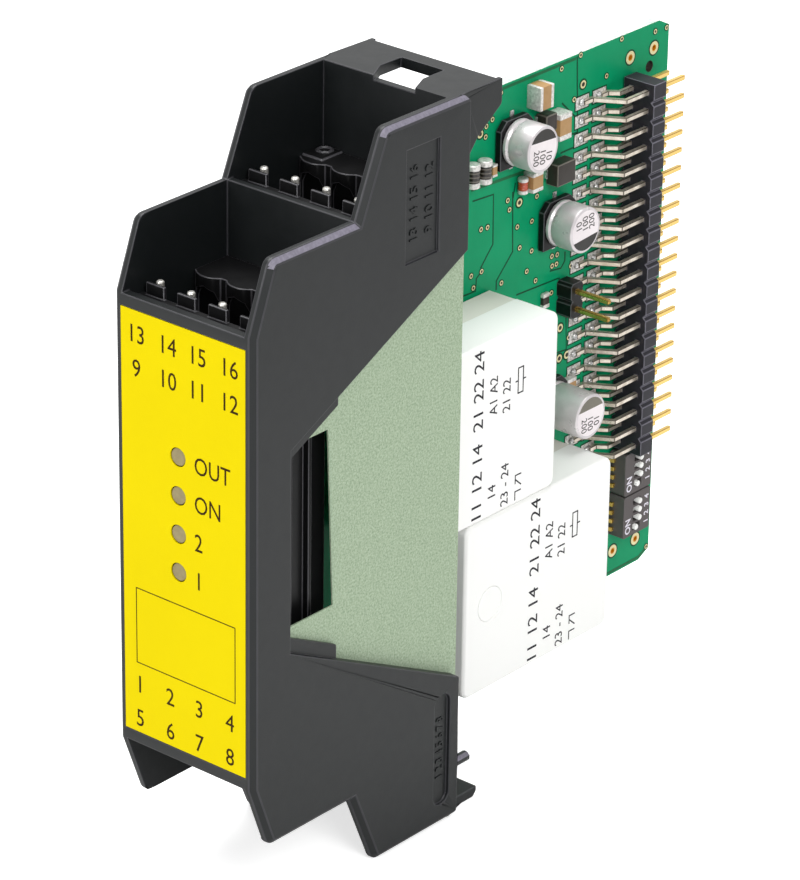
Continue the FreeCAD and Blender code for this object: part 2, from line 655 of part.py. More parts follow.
def relay_base(relay):
    """Base of a relay, standing on four small feet."""
    floor = BOARD_X + RELAY_STANDOFF
    base = prism("X", relay_corners(relay, RELAY_BASE_INSET), floor, RELAY_SEAM)
    base = base.makeChamfer(RELAY_BASE_BEVEL, upright_edges(base))
    feet = []
    for y in (relay.rear - RELAY_LENGTH + RELAY_FOOT, relay.rear - RELAY_FOOT):
        for z in (relay.top - RELAY_HEIGHT + RELAY_FOOT, relay.top - RELAY_FOOT):
            feet.append(box((BOARD_X, floor), (y - RELAY_FOOT_HALF, y + RELAY_FOOT_HALF),
                            (z - RELAY_FOOT_HALF, z + RELAY_FOOT_HALF)))
    return base.fuse(feet)


def relay_pin_places(relay):
    """Where a relay's pins enter the board."""
    low = relay.top - RELAY_HEIGHT
    return [(relay.rear - column, low + row) for column in RELAY_PIN_COLUMNS for row in RELAY_PIN_ROWS]


def relay_pins(relay):
    """The six flat pins of a relay, through the board."""
    along, across = RELAY_PIN
    x = (BOARD_X - BOARD_THICKNESS - SOLDER_REACH, BOARD_X + RELAY_STANDOFF)
    return [box(x, (y - along / 2, y + along / 2), (z - across / 2, z + across / 2))
            for y, z in relay_pin_places(relay)]


# ---- parts soldered on the board ---------------------------------------------------------
def can_base(can):
    """Square plastic base with two bevelled corners, under the can."""
    half = CAN_BASE / 2
    cut = CAN_BASE_CORNER
    y, z = can.y, can.z
    outline = [(y - half, z - half), (y + half, z - half), (y + half, z + half - cut),
               (y + half - cut, z + half), (y - half + cut, z + half), (y - half, z + half - cut)]
    low = BOARD_X + CAN_LEAD[0]
    return prism("X", outline, low, low + CAN_BASE_HEIGHT)


def can_body(can):
    """Aluminium can, drawn in at its foot, with a bevelled rim."""
    low = CAN_LEAD[0] + CAN_BASE_HEIGHT
    groove = CAN_GROOVE
    at = low + CAN_GROOVE_AT
    profile = [V(0, low, 0), V(CAN_R - groove, low, 0), V(CAN_R - groove, at, 0), V(CAN_R, at + groove, 0),
               V(CAN_R, can.height - CAN_BEVEL, 0), V(CAN_R - CAN_BEVEL, can.height, 0),
               V(0, can.height, 0), V(0, low, 0)]
    solid = Part.Face(Part.makePolygon(profile)).revolve(MIDDLE, V(0, 1, 0), 360)
    solid.rotate(MIDDLE, V(0, 0, 1), -90)
    solid.translate(V(BOARD_X, can.y, can.z))
    return solid


def can_leads():
    """Two flat leads under each can's base, standing out above and below it."""
    thickness, reach, width = CAN_LEAD
    leads = []
    for can in CANS:
        for side in (-1, 1):
            inner = can.z + side * CAN_LEAD_START
            outer = can.z + side * (CAN_BASE / 2 + reach / 2)
            leads.append(box((BOARD_X, BOARD_X + thickness), (can.y - width / 2, can.y + width / 2),
                             sorted((inner, outer))))
    return leads


def chips(places):
    """Plain rectangular chip parts lying on the board."""
    return [box((BOARD_X, BOARD_X + height), (y - along / 2, y + along / 2), (z - up / 2, z + up / 2))
            for y, z, along, up, height in places]


def round_diodes():
    """Round-bodied diodes lying on the board along Z."""
    solids = []
    for y, z, length, diameter in ROUND_DIODES:
        outline = octagon(BOARD_X + diameter / 2, y, diameter / 2)
        solids.append(prism("Z", outline, z - length / 2, z + length / 2))
    return solids


# ---- bus pin header ----------------------------------------------------------------------
def pin_heights():
    """Heights of the bus header's pins, from the top one down."""
    return [TOP_PIN_Z - PITCH * index for index in range(HEADER_PINS)]


def pin_header_body():
    """Long insulator: one segment for each pair of pins, with a notch between neighbours."""
    depth, width = BODY_NOTCH
    left, right = BODY_X
    front, rear = BODY_Y
    top = TOP_PIN_Z + PITCH / 2
    bottom = top - PITCH * HEADER_PINS
    joins = [bottom + PITCH * index for index in range(1, HEADER_PINS)]
    up_right = []
    for z in joins:
        up_right += [(right, z - width / 2), (right - depth, z), (right, z + width / 2)]
    down_left = [(left + right - x, z) for x, z in reversed(up_right)]
    outline = [(left, bottom), (right, bottom)] + up_right + [(right, top), (left, top)] + down_left
    body = prism("Y", outline, front, rear)
    holes = []
    for z in pin_heights():
        for x in (NEAR_ROW_X, NEAR_ROW_X - PITCH):
            holes.append(box((x - PIN / 2, x + PIN / 2), (front - OVERCUT, rear + OVERCUT),
                             (z - PIN / 2, z + PIN / 2)))
    return body.cut(holes)


def header_pin(x, leg, z):
    """One square pin: straight through the insulator, then sloped down to its foot."""
    slope, land, end = leg
    foot_x = BOARD_X + PIN / 2
    outline = ribbon([(x, PIN_TIP_Y), (x, slope), (foot_x, land), (foot_x, end)], PIN)
    bevel = PIN_TIP_BEVEL
    left, right = outline[0], outline[-1]
    inward = math.copysign(bevel, right[0] - left[0])
    tip = [(left[0] + inward, left[1]), (left[0], left[1] - bevel)]
    tail = [(right[0], right[1] - bevel), (right[0] - inward, right[1])]
    return prism("Z", tip + outline[1:-1] + tail, z - PIN / 2, z + PIN / 2)


def header_row(x, leg):
    """All the pins of one row."""
    return [header_pin(x, leg, z) for z in pin_heights()]


# ---- jumper header -----------------------------------------------------------------------
def jumper_body():
    """Two-pole insulator with bevelled corners and a waist between its poles."""
    half = JUMPER_BODY / 2
    bevel = JUMPER_BEVEL
    middle = sum(JUMPER_Z) / 2
    low, high = JUMPER_Z[0] - half, JUMPER_Z[1] + half
    front, rear = JUMPER_Y - half, JUMPER_Y + half
    outline = [(front + bevel, low), (rear - bevel, low), (rear, low + bevel), (rear, middle - bevel),
               (rear - bevel, middle), (rear, middle + bevel), (rear, high - bevel), (rear - bevel, high),
               (front + bevel, high), (front, high - bevel), (front, middle + bevel),
               (front + bevel, middle), (front, middle - bevel), (front, low + bevel)]
    body = prism("X", outline, BOARD_X, BOARD_X + JUMPER_BODY)
    return body.cut(jumper_pins())


def jumper_pins():
    """The two square posts of the jumper header, through the board."""
    half = PIN / 2
    pins = []
    for z in JUMPER_Z:
        pin = box((BOARD_X - BOARD_THICKNESS - SOLDER_REACH, JUMPER_TIP_X),
                  (JUMPER_Y - half, JUMPER_Y + half), (z - half, z + half))
        pins.append(pin.makeChamfer(PIN_TIP_BEVEL, rim_edges(pin)))
    return pins


# ---- code switches -----------------------------------------------------------------------
def lever_height(switch, index):
    """Height of a lever's middle."""
    return switch.bottom + switch.first_lever + LEVER_PITCH * index


def lever_start(index):
    """Depth of a lever's middle: the first lever of each switch is switched on."""
    return LEVER_REST_Y - (LEVER_TRAVEL if index == 0 else 0)


def lever_slot(switch, index):
    """Opening above a lever and the wider channel for its foot."""
    z = lever_height(switch, index)
    length, width, depth = LEVER_FOOT
    gap = LEVER_GAP
    front, rear = LEVER_REST_Y - LEVER_TRAVEL, LEVER_REST_Y
    lip = SWITCH_TOP - LEVER_LIP
    neck = box((lip - LEVER_NECK, SWITCH_TOP + OVERCUT), (front - LEVER_R - gap, rear + LEVER_R + gap),
               (z - LEVER_R - gap, z + LEVER_R + gap))
    channel = box((lip - depth - 2 * gap, lip), (front - length / 2 - gap, rear + length / 2 + gap),
                  (z - width / 2 - gap, z + width / 2 + gap))
    return neck.fuse(channel)


def lever(switch, index):
    """Eight-sided lever on a wider foot that keeps it in the body."""
    y, z = lever_start(index), lever_height(switch, index)
    length, width, depth = LEVER_FOOT
    foot_top = SWITCH_TOP - LEVER_LIP - LEVER_GAP
    foot = box((foot_top - depth, foot_top), (y - length / 2, y + length / 2),
               (z - width / 2, z + width / 2))
    knob = prism("X", octagon(y, z, LEVER_R), foot_top, SWITCH_TOP + LEVER_RISE)
    return foot.fuse(knob)


def switch_body(switch):
    """Body of a code switch with a slot for each lever."""
    z = (switch.bottom, switch.bottom + SWITCH_LENGTH)
    body = box((BOARD_X + SWITCH_STANDOFF, SWITCH_TOP), SWITCH_Y, z)
    body = body.makeChamfer(SWITCH_BEVEL, upright_edges(body))
    return body.cut([lever_slot(switch, index) for index in range(LEVER_COUNT)])


def switch_leads():
    """Gull-wing leads on both sides of each switch, one pair for each lever."""
    thickness, width, reach = GULL
    middle_x = (BOARD_X + SWITCH_TOP) / 2 - GULL_DROP
    run, slope = GULL_BEND
    foot_x = BOARD_X + thickness / 2
    leads = []
    for switch in SWITCHES:
        for index in range(LEVER_COUNT):
            z = lever_height(switch, index)
            for side, y in zip((-1, 1), SWITCH_Y):
                bend = y + side * run
                outline = ribbon([(middle_x, y), (middle_x, bend), (foot_x, bend + side * slope),
                                  (foot_x, y + side * reach)], thickness)
                leads.append(prism("Z", outline, z - width / 2, z + width / 2))
    return leads


# ---- build -------------------------------------------------------------------------------
def build():
    """Write every sub-part."""
    os.makedirs("parts", exist_ok=True)
    save("front_housing", front_housing())
    save("front_label", label())
    for number, z in enumerate(lamp_heights(), start=1):
        save(f"lamp_{number}", lamp(z))
    save("lamp_legs", *lamp_legs())
    save("lamp_carrier", lamp_carrier())
    save("insulating_sheet", insulating_sheet())
    save("main_board", main_board())
    for tier in (FRONT_TIER, REAR_TIER):
        body, pins = terminal_header(tier), contacts(tier)
        save(f"header_{tier.name}_upper", body)
        save(f"header_{tier.name}_lower", flip(body))
        save(f"contacts_{tier.name}_upper", *pins)
        save(f"contacts_{tier.name}_lower", *[flip(pin) for pin in pins])
    for relay in RELAYS:
        save(f"relay_cover_{relay.name}", relay_cover(relay))
        save(f"relay_base_{relay.name}", relay_base(relay))
        save(f"relay_pins_{relay.name}", *relay_pins(relay))
    for can in CANS:
        save(f"capacitor_{can.name}", can_body(can))
        save(f"capacitor_base_{can.name}", can_base(can))
    save("capacitor_leads", *can_leads())
    save("ceramic_capacitors", *chips(CERAMICS))
    save("moulded_chips", *chips(MOULDED))
    save("chip_resistors", *chips(RESISTORS))
    save("round_diodes", *round_diodes())
    save("bus_header_body", pin_header_body())
    save("bus_pins_near", *header_row(NEAR_ROW_X, NEAR_LEG))
    save("bus_pins_far", *header_row(NEAR_ROW_X - PITCH, FAR_LEG))
    save("jumper_body", jumper_body())
    save("jumper_pins", *jumper_pins())
    for switch in SWITCHES:
        save(f"switch_{switch.name}", switch_body(switch))
        for index in range(LEVER_COUNT):
            save(f"lever_{switch.name}_{index + 1}", lever(switch, index))
    save("switch_leads", *switch_leads())


build()
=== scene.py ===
"""Looks of a safety relay module: housing front, label, circuit board and the parts on it.

X runs across the module, Y runs back from the label and Z runs up. Lengths in the classes are in
millimetres and become metres when a mesh is made. Every finished piece has its place in its mesh.
"""

import logging
import math
from collections.abc import Callable, Iterable, Sequence
from dataclasses import dataclass
from enum import Enum
from functools import cache
from itertools import cycle, product

import bmesh
import bpy
from bmesh.types import BMesh
from bpy.types import ID, Material, Mesh, MeshPolygon, Node, NodeOutputs, NodeSocket, NodeTree, Object
from mathutils import Matrix, Vector
from mathutils.bvhtree import BVHTree


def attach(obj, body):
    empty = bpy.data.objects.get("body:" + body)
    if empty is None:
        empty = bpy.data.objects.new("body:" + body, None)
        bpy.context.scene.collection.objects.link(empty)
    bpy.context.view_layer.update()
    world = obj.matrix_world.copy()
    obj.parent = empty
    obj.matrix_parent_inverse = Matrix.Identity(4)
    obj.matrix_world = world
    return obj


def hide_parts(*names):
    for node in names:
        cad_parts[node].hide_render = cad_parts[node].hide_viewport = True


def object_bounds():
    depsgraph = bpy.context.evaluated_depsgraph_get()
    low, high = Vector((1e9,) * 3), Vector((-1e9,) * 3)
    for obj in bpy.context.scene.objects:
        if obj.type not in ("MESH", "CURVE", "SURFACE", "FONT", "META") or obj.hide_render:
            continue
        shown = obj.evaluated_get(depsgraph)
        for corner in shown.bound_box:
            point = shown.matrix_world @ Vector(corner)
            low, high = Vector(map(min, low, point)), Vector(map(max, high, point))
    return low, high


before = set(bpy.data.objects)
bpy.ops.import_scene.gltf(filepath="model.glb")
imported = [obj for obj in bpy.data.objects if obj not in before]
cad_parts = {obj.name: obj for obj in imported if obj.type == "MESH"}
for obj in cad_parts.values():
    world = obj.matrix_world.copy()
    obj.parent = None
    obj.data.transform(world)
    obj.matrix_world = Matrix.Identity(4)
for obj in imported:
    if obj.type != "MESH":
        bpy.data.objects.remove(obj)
CAD_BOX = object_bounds()
LOG = logging.getLogger("safety_relay")
MM = 0.001
MODULE = "module"
# How near points are joined: those of the solids in metres, those of repeated shapes in millimetres.
WELD = 1e-6
UNIT_WELD = 1e-4
# The board's side with the parts, and its thickness.
BOARD_FACE = -4.62
BOARD_THICKNESS = 1.6
Point = tuple[float, float]
Spot = tuple[float, float, float]
Line = tuple[str, Point, float, float]
Inputs = dict[str | int, object]

# Local (along, up, out) axes of a flat drawing, turned to a face of the module.
TO_RIGHT_FACE = Matrix(((0, 0, 1, 0), (1, 0, 0, 0), (0, 1, 0, 0), (0, 0, 0, 1)))
TO_LEFT_FACE = Matrix(((0, 0, -1, 0), (-1, 0, 0, 0), (0, 1, 0, 0), (0, 0, 0, 1)))
TO_FRONT_FACE = Matrix(((1, 0, 0, 0), (0, 0, -1, 0), (0, 1, 0, 0), (0, 0, 0, 1)))
PARTS_SIDE = Matrix.Translation((BOARD_FACE * MM, 0, 0)) @ TO_RIGHT_FACE
SOLDER_SIDE = Matrix.Translation(((BOARD_FACE - BOARD_THICKNESS) * MM, 0, 0)) @ TO_LEFT_FACE


# ---- colours and shader groups -----------------------------------------------------------
def linear(code: str) -> tuple[float, float, float, float]:
    """Turn a colour written as "#rrggbb" into a shader's linear red, green, blue and alpha."""
    parts = [int(code[start:start + 2], 16) / 255 for start in (1, 3, 5)]
    red, green, blue = (p / 12.92 if p <= 0.04045 else ((p + 0.055) / 1.055) ** 2.4 for p in parts)
    return red, green, blue, 1.0


def adjust(target: object, **options: object) -> None:
    """Set options of a node, modifier or data block by name."""
    for key, value in options.items():
        setattr(target, key, value)


@dataclass
class Wiring:
    """A node tree that is built up node by node."""

    tree: NodeTree

    @classmethod
    def group(cls, name: str, kind: str, inputs: dict[str, str], outputs: dict[str, str]) -> "Wiring":
        """Start a node group, with the names and types of its inputs and outputs."""
        tree = bpy.data.node_groups.new(name, kind)
        for way, sockets in (("INPUT", inputs), ("OUTPUT", outputs)):
            for label, sort in sockets.items():
                tree.interface.new_socket(name=label, in_out=way, socket_type=f"NodeSocket{sort}")
        return cls(tree)

    def set(self, node: Node, inputs: Inputs) -> None:
        """Set inputs of a node, each to a value or to the output of another node."""
        for key, value in inputs.items():
            if isinstance(value, NodeSocket):
                self.tree.links.new(value, node.inputs[key])
            else:
                node.inputs[key].default_value = value

    def add(self, kind: str, inputs: Inputs | None = None, **options: object) -> NodeOutputs:
        """Add a node with its own options, set its inputs and give its outputs."""
        node = self.tree.nodes.new(kind)
        adjust(node, **options)
        self.set(node, inputs or {})
        return node.outputs


class EffectLibrary:
    """The shader groups that the finishes share, each built once."""

    @staticmethod
    @cache
    def drift() -> NodeTree:
        """Soft patches that lead from one colour to a second one."""
        wires = Wiring.group("colour_drift", "ShaderNodeTree", {
            "Vector": "Vector", "Colour": "Color", "Second": "Color", "Scale": "Float", "Amount": "Float"},
            {"Colour": "Color"})
        given = wires.add("NodeGroupInput")
        patches = wires.add("ShaderNodeTexNoise", {
            "Vector": given["Vector"], "Scale": given["Scale"], "Detail": 4.0, "Roughness": 0.62})
        spread = wires.add("ShaderNodeMapRange", {
            "Value": patches["Fac"], "From Min": 0.32, "From Max": 0.68})
        amount = wires.add("ShaderNodeMath", {0: spread["Result"], 1: given["Amount"]}, operation="MULTIPLY")
        blend = wires.add("ShaderNodeMix", {
            "Factor": amount["Value"], "A": given["Colour"], "B": given["Second"]}, data_type="RGBA")
        wires.add("NodeGroupOutput", {"Colour": blend["Result"]})
        return wires.tree

    @staticmethod
    @cache
    def grain() -> NodeTree:
        """Moulding grain: a fine and a coarse layer of height."""
        wires = Wiring.group("fine_grain", "ShaderNodeTree", {"Vector": "Vector", "Scale": "Float"},
                             {"Height": "Float", "Coarse": "Float"})
        given = wires.add("NodeGroupInput")
        fine = wires.add("ShaderNodeTexNoise", {
            "Vector": given["Vector"], "Scale": given["Scale"], "Detail": 3.0})
        slower = wires.add("ShaderNodeMath", {0: given["Scale"], 1: 0.12}, operation="MULTIPLY")
        coarse = wires.add("ShaderNodeTexNoise", {
            "Vector": given["Vector"], "Scale": slower["Value"], "Detail": 2.0})
        blend = wires.add("ShaderNodeMix", {"Factor": 0.35, "A": fine["Fac"], "B": coarse["Fac"]})
        wires.add("NodeGroupOutput", {"Height": blend["Result"], "Coarse": coarse["Fac"]})
        return wires.tree

    @staticmethod
    @cache
    def streaks() -> NodeTree:
        """Fine lines along X, as on drawn or rolled metal."""
        wires = Wiring.group("drawn_streaks", "ShaderNodeTree", {"Vector": "Vector", "Scale": "Float"},
                             {"Height": "Float"})
        given = wires.add("NodeGroupInput")
        stretch = wires.add("ShaderNodeMapping", {"Vector": given["Vector"], "Scale": (0.04, 1.0, 1.0)})
        lines = wires.add("ShaderNodeTexNoise", {
            "Vector": stretch["Vector"], "Scale": given["Scale"], "Detail": 2.0})
        wires.add("NodeGroupOutput", {"Height": lines["Fac"]})
        return wires.tree


@dataclass(frozen=True)
class Finish:
    """One surface finish: its colours, gloss and grain, and past a depth a second metal.

    Scales are in repeats per metre and depths in millimetres. The slot names a material slot of the pieces
    that have this finish first; it is not used.
    """

    name: str
    colour: str
    second: str
    roughness: float = 0.5
    rough_swing: float = 0.08
    metallic: float = 0.0
    coat: float = 0.0
    specular: float = 0.5
    drift_scale: float = 180.0
    drift: float = 0.5
    grain_scale: float = 5200.0
    grain_depth: float = 0.006
    streaks: float = 0.0
    band: tuple[float, str] | None = None
    band_blend: float = 0.2
    coat_roughness: float = 0.12
    slot: str = ""

    def material(self) -> Material:
        """Give this finish's material, building it the first time."""
        return bpy.data.materials.get(self.name) or self._build()

    def _build(self) -> Material:
        """Build the material: drift and band into the colour, grain into gloss and normal."""
        made = bpy.data.materials.new(self.name)
        made.use_nodes = True
        wires = Wiring(made.node_tree)
        place = wires.add("ShaderNodeTexCoord")["Object"]

        def effect(group: NodeTree, **inputs: object) -> NodeOutputs:
            """Place a shared effect in the material."""
            return wires.add("ShaderNodeGroup", {"Vector": place, **inputs}, node_tree=group)

        colour = effect(EffectLibrary.drift(), Colour=linear(self.colour), Second=linear(self.second),
                        Scale=self.drift_scale, Amount=self.drift)["Colour"]
        if self.band:
            depth, other = self.band
            split = wires.add("ShaderNodeSeparateXYZ", {"Vector": place})
            step = wires.add("ShaderNodeMapRange", {
                "Value": split["Y"], "From Min": (depth - self.band_blend) * MM,
                "From Max": (depth + self.band_blend) * MM})
            colour = wires.add("ShaderNodeMix", {"Factor": step["Result"], "A": colour, "B": linear(other)},
                               data_type="RGBA")["Result"]
        grain = effect(EffectLibrary.grain(), Scale=self.grain_scale)
        gloss = wires.add("ShaderNodeMapRange", {
            "Value": grain["Coarse"], "To Min": self.roughness - self.rough_swing,
            "To Max": self.roughness + self.rough_swing})
        relief = effect(EffectLibrary.streaks(), Scale=self.streaks) if self.streaks else grain
        bump = wires.add("ShaderNodeBump", {
            "Height": relief["Height"], "Distance": self.grain_depth * MM, "Strength": 1.0})
        wires.set(made.node_tree.nodes["Principled BSDF"], {
            "Base Color": colour, "Roughness": gloss["Result"], "Normal": bump["Normal"],
            "Metallic": self.metallic, "Specular IOR Level": self.specular, "Coat Weight": self.coat,
            "Coat Roughness": self.coat_roughness})
        return made


class Finishes:
    """Every finish of the module."""

    HOUSING = Finish("housing_black_plastic", "#121516", "#0d1011", 0.42, 0.06, specular=0.36, drift_scale=90,
        drift=0.6, grain_depth=0.010, slot="housing_black")
    # Lighter grey for the housing's broken edges: a painted highlight.
    RIM = Finish("housing_rim_highlight", "#313135", "#252528", 0.42, specular=0.4, drift_scale=700, grain_depth=0.004)
    # Violet-grey for the chamfers that face up and outwards: a brighter painted highlight of the light from
    # above.
    LIT_RIM = Finish("housing_lit_rim", "#7b7784", "#5f5c68", 0.5, specular=0.4, drift_scale=2200, drift=0.8,
        grain_depth=0.012)
    MOULDED = Finish("black_moulding", "#0d0d0e", "#09090a", 0.42, 0.08, specular=0.24, grain_depth=0.008,
        slot="moulded_black")
    # Grey for the broken edges of black mouldings: a painted highlight.
    MOULDED_RIM = Finish("moulding_rim_highlight", "#4a494d", "#323135", 0.4, drift_scale=900, grain_depth=0.004)
    MARKS = Finish("raised_marks", "#121516", "#0d1011", 0.45, specular=0.36, grain_depth=0.004,
        slot="housing_black")
    LABEL = Finish("yellow_film", "#dcc800", "#d6c100", 0.5, 0.04, specular=0.03, drift_scale=60, drift=0.5,
        grain_scale=3000, grain_depth=0.002, slot="label_yellow")
    INK = Finish("brown_black_ink", "#3a2704", "#2c1d03", 0.5, specular=0.06, grain_depth=0.001,
        slot="label_yellow")
    LENS = Finish("lamp_lens", "#94875f", "#7b6f4c", 0.36, 0.06, coat=0.06, specular=0.3, drift_scale=900,
        drift=0.8, grain_scale=2600, grain_depth=0.01, slot="lamp_grey")
    SHEET = Finish("insulating_sheet", "#b0c1a6", "#788d71", 0.55, 0.1, specular=0.3, drift_scale=3800,
        drift=0.85, grain_scale=4200, grain_depth=0.012, slot="sheet_green")
    MASK = Finish("solder_mask", "#078e5f", "#0b9a68", 0.3, 0.05, specular=0.07, drift_scale=110, drift=0.8,
        grain_scale=1800, grain_depth=0.006, slot="board_green")
    BOARD_EDGE = Finish("board_edge", "#eef0ec", "#a9c3b3", 0.6, drift_scale=1400, drift=0.9)
    TRACK = Finish("dark_track", "#084a30", "#063a25", 0.4, specular=0.1, drift_scale=400, grain_depth=0.003,
        slot="board_green")
    BAND = Finish("olive_band", "#1f6a43", "#175a39", 0.4, specular=0.1, drift_scale=400, grain_depth=0.003,
        slot="board_green")
    EYELET = Finish("tinned_ring", "#e6dca8", "#d3c88f", 0.4, 0.1, metallic=0.1, drift_scale=1500,
        slot="board_green")
    # Dark brown for the open holes: painted shade, on the discs over the vias and on the walls of the board's
    # holes.
    HOLE = Finish("via_hole", "#2a2114", "#17130c", 0.6, drift_scale=1500, slot="board_green")
    COPPER = Finish("plated_bore", "#e0940c", "#b4700a", 0.35, 0.1, metallic=0.2, drift_scale=1200,
        slot="board_green")
    TIN = Finish("tinned_leg", "#e9e1d3", "#ab9d8a", 0.3, 0.1, metallic=0.7, drift_scale=700, drift=0.75,
        grain_scale=3500, grain_depth=0.012, band=(92.3, "#f2d07a"), slot="tinned_metal")
    # Dark brown for the header legs' broken edges: painted shade and painted dark reflections.
    TIN_EDGE = Finish("tinned_leg_edge_shade", "#5c5347", "#37312a", 0.3, 0.1, metallic=0.5, drift_scale=900,
        drift=0.7, band=(92.3, "#b98a3c"))
    POST = Finish("contact_tin", "#eceae4", "#a9a69e", 0.25, 0.1, metallic=0.6, drift_scale=2000, drift=0.8,
        slot="tinned_metal")
    GOLD = Finish("gold_pin", "#e9c66c", "#b58c3a", 0.26, 0.08, metallic=0.8, drift_scale=1100, drift=0.6,
        slot="gold_pins")
    # Darker gold for the jumper posts' broken edges: painted shade.
    GOLD_EDGE = Finish("gold_pin_edge_shade", "#8c6a2c", "#6b4f20", 0.3, 0.08, metallic=0.6, drift_scale=1100)
    SOLDER = Finish("solder", "#f0efee", "#4b4947", 0.24, 0.12, metallic=0.55, drift_scale=3800, drift=0.95,
        grain_scale=2600, grain_depth=0.05, slot="tinned_metal")
    PAD = Finish("tinned_pad", "#f8f6f2", "#615c54", 0.3, 0.1, metallic=0.12, drift_scale=2600, drift=0.85,
        grain_scale=2600, grain_depth=0.04, slot="tinned_metal")
    RELAY = Finish("relay_white", "#e0dad6", "#dcd5d0", 0.44, 0.05, drift_scale=60, drift=0.6,
        grain_scale=3600, grain_depth=0.006, slot="relay_white")
    RELAY_BASE = Finish("relay_base_white", "#e7e3dc", "#dcd7ce", 0.5, drift_scale=60, slot="relay_white")
    RELAY_INK = Finish("relay_print", "#232129", "#1b1a20", 0.5, specular=0.15, grain_depth=0.001,
        slot="relay_white")
    CAN = Finish("drawn_aluminium", "#d9d3d5", "#b1abad", 0.3, 0.08, metallic=0.34, drift_scale=300,
        grain_depth=0.012, streaks=5200, slot="can_aluminium")
    CAN_TOP = Finish("can_top", "#f0e8ea", "#e4dcdf", 0.42, 0.06, metallic=0.05, drift_scale=500)
    CAN_INK = Finish("can_print", "#211e1b", "#191715", 0.5, grain_depth=0.001, slot="can_aluminium")
    CAN_GREY_INK = Finish("can_grey_print", "#6f6a5c", "#57534a", 0.4, drift_scale=500, grain_depth=0.001,
        slot="can_aluminium")
    CERAMIC = Finish("ceramic_tan", "#b08a5a", "#9c7646", 0.5, 0.08, drift_scale=900, grain_depth=0.01,
        slot="ceramic")
    END_CAP = Finish("chip_end", "#f1eeea", "#a8a5a1", 0.35, 0.1, metallic=0.3, drift_scale=2600, drift=0.8)
    CHIP = Finish("moulded_chip", "#2f2a25", "#241f1b", 0.48, 0.08, specular=0.4, grain_depth=0.01,
        slot="moulded_black")
    # Lighter brown-grey for the broken edges and raised rings of dark chips: a painted highlight.
    CHIP_RIM = Finish("moulded_chip_rim_highlight", "#6f6961", "#4c4741", 0.5, drift_scale=900)
    GLASS_BAND = Finish("diode_band", "#c04a28", "#7e2c18", 0.25, coat=0.4, drift_scale=1500)
    DARK_BAND = Finish("diode_dark_band", "#17130f", "#241a12", 0.3, coat=0.3, drift_scale=1500,
        slot="moulded_black")
    HEADER = Finish("header_plastic", "#29282f", "#1f1e25", 0.5, 0.08, specular=0.26, drift_scale=500,
        drift=0.6, grain_depth=0.012, slot="moulded_black")
    # Lighter grey for the header body's broken edges: a painted highlight.
    HEADER_RIM = Finish("header_rim", "#6a6873", "#494751", 0.5, drift_scale=900, drift=0.7)
    SWITCH = Finish("switch_body", "#211d1a", "#191614", 0.5, 0.06, specular=0.14, drift_scale=500,
        grain_depth=0.008, slot="switch_body")
    SWITCH_INK = Finish("switch_print", "#e4e0ea", "#d3cfda", 0.5, grain_depth=0.001, slot="switch_body")
    LEVER = Finish("lever_white", "#f4f2ef", "#e9e6e2", 0.4, drift_scale=900, grain_depth=0.004,
        slot="lever_white")


# ---- putting pieces into the scene -------------------------------------------------------
def linked(name: str, data: ID) -> Object:
    """Put an object with this data into the scene."""
    made = bpy.data.objects.new(name, data)
    bpy.context.scene.collection.objects.link(made)
    return made


def add_object(name: str, mesh: Mesh, finishes: Sequence[Finish]) -> Object:
    """Put a mesh that is in place into the scene, with one finish for each material index."""
    mesh.name = name
    shares = [min(polygon.material_index, len(finishes) - 1) for polygon in mesh.polygons]
    mesh.materials.clear()
    for finish in finishes:
        mesh.materials.append(finish.material())
    mesh.polygons.foreach_set("material_index", shares)
    return linked(name, mesh)


def settle(piece: Object, replaced: Sequence[str] = (), body: str = MODULE) -> None:
    """Tie a finished piece to its body and hide the CAD nodes it stands for."""
    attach(piece, body)
    if replaced:
        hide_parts(*replaced)
    LOG.info("%s: %d faces on %s", piece.name, len(piece.data.polygons), body)


def plain_mesh(piece: Object) -> Mesh:
    """Give what an object's modifiers, curve or text make, as a mesh of its own."""
    graph = bpy.context.evaluated_depsgraph_get()
    graph.update()
    return bpy.data.meshes.new_from_object(piece.evaluated_get(graph))


def blend_faces(mesh: Mesh, angle: float) -> None:
    """Smooth a mesh over edges up to an angle in degrees."""
    mesh.shade_smooth()
    mesh.set_sharp_from_angle(angle=math.radians(angle))


def finished(name: str, work: BMesh, finishes: Sequence[Finish], replaced: Sequence[str] = (),
             face: Matrix = Matrix.Identity(4), smooth: float = 30.0) -> None:
    """Turn a shape drawn in millimetres into a finished piece of the module.

    Args:
        name: The piece's name.
        work: The shape, which is used up.
        finishes: One finish for each material index.
        replaced: CAD nodes that it stands for.
        face: Turns and moves it to its place.
        smooth: Angle up to which its faces blend, in degrees, or 0 to leave them.
    """
    mesh = bpy.data.meshes.new(name)
    work.to_mesh(mesh)
    work.free()
    mesh.transform(face @ Matrix.Diagonal((MM, MM, MM, 1)))
    if smooth:
        blend_faces(mesh, smooth)
    settle(add_object(name, mesh, finishes), replaced)


def absorb(work: BMesh, part: BMesh) -> None:
    """Add a shape to another one and use it up."""
    mesh = bpy.data.meshes.new("part")
    part.to_mesh(mesh)
    part.free()
    work.from_mesh(mesh)
    bpy.data.meshes.remove(mesh)


def solid(node: str) -> BMesh:
    """Give a CAD node's mesh with its points welded."""
    work = bmesh.new()
    work.from_mesh(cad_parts[node].data)
    bmesh.ops.remove_doubles(work, verts=work.verts, dist=WELD)
    return work


def box(points: Iterable[Vector]) -> tuple[Vector, Vector]:
    """Give the lowest and the highest corner round some points."""
    values = list(zip(*points))
    return Vector(map(min, values)), Vector(map(max, values))


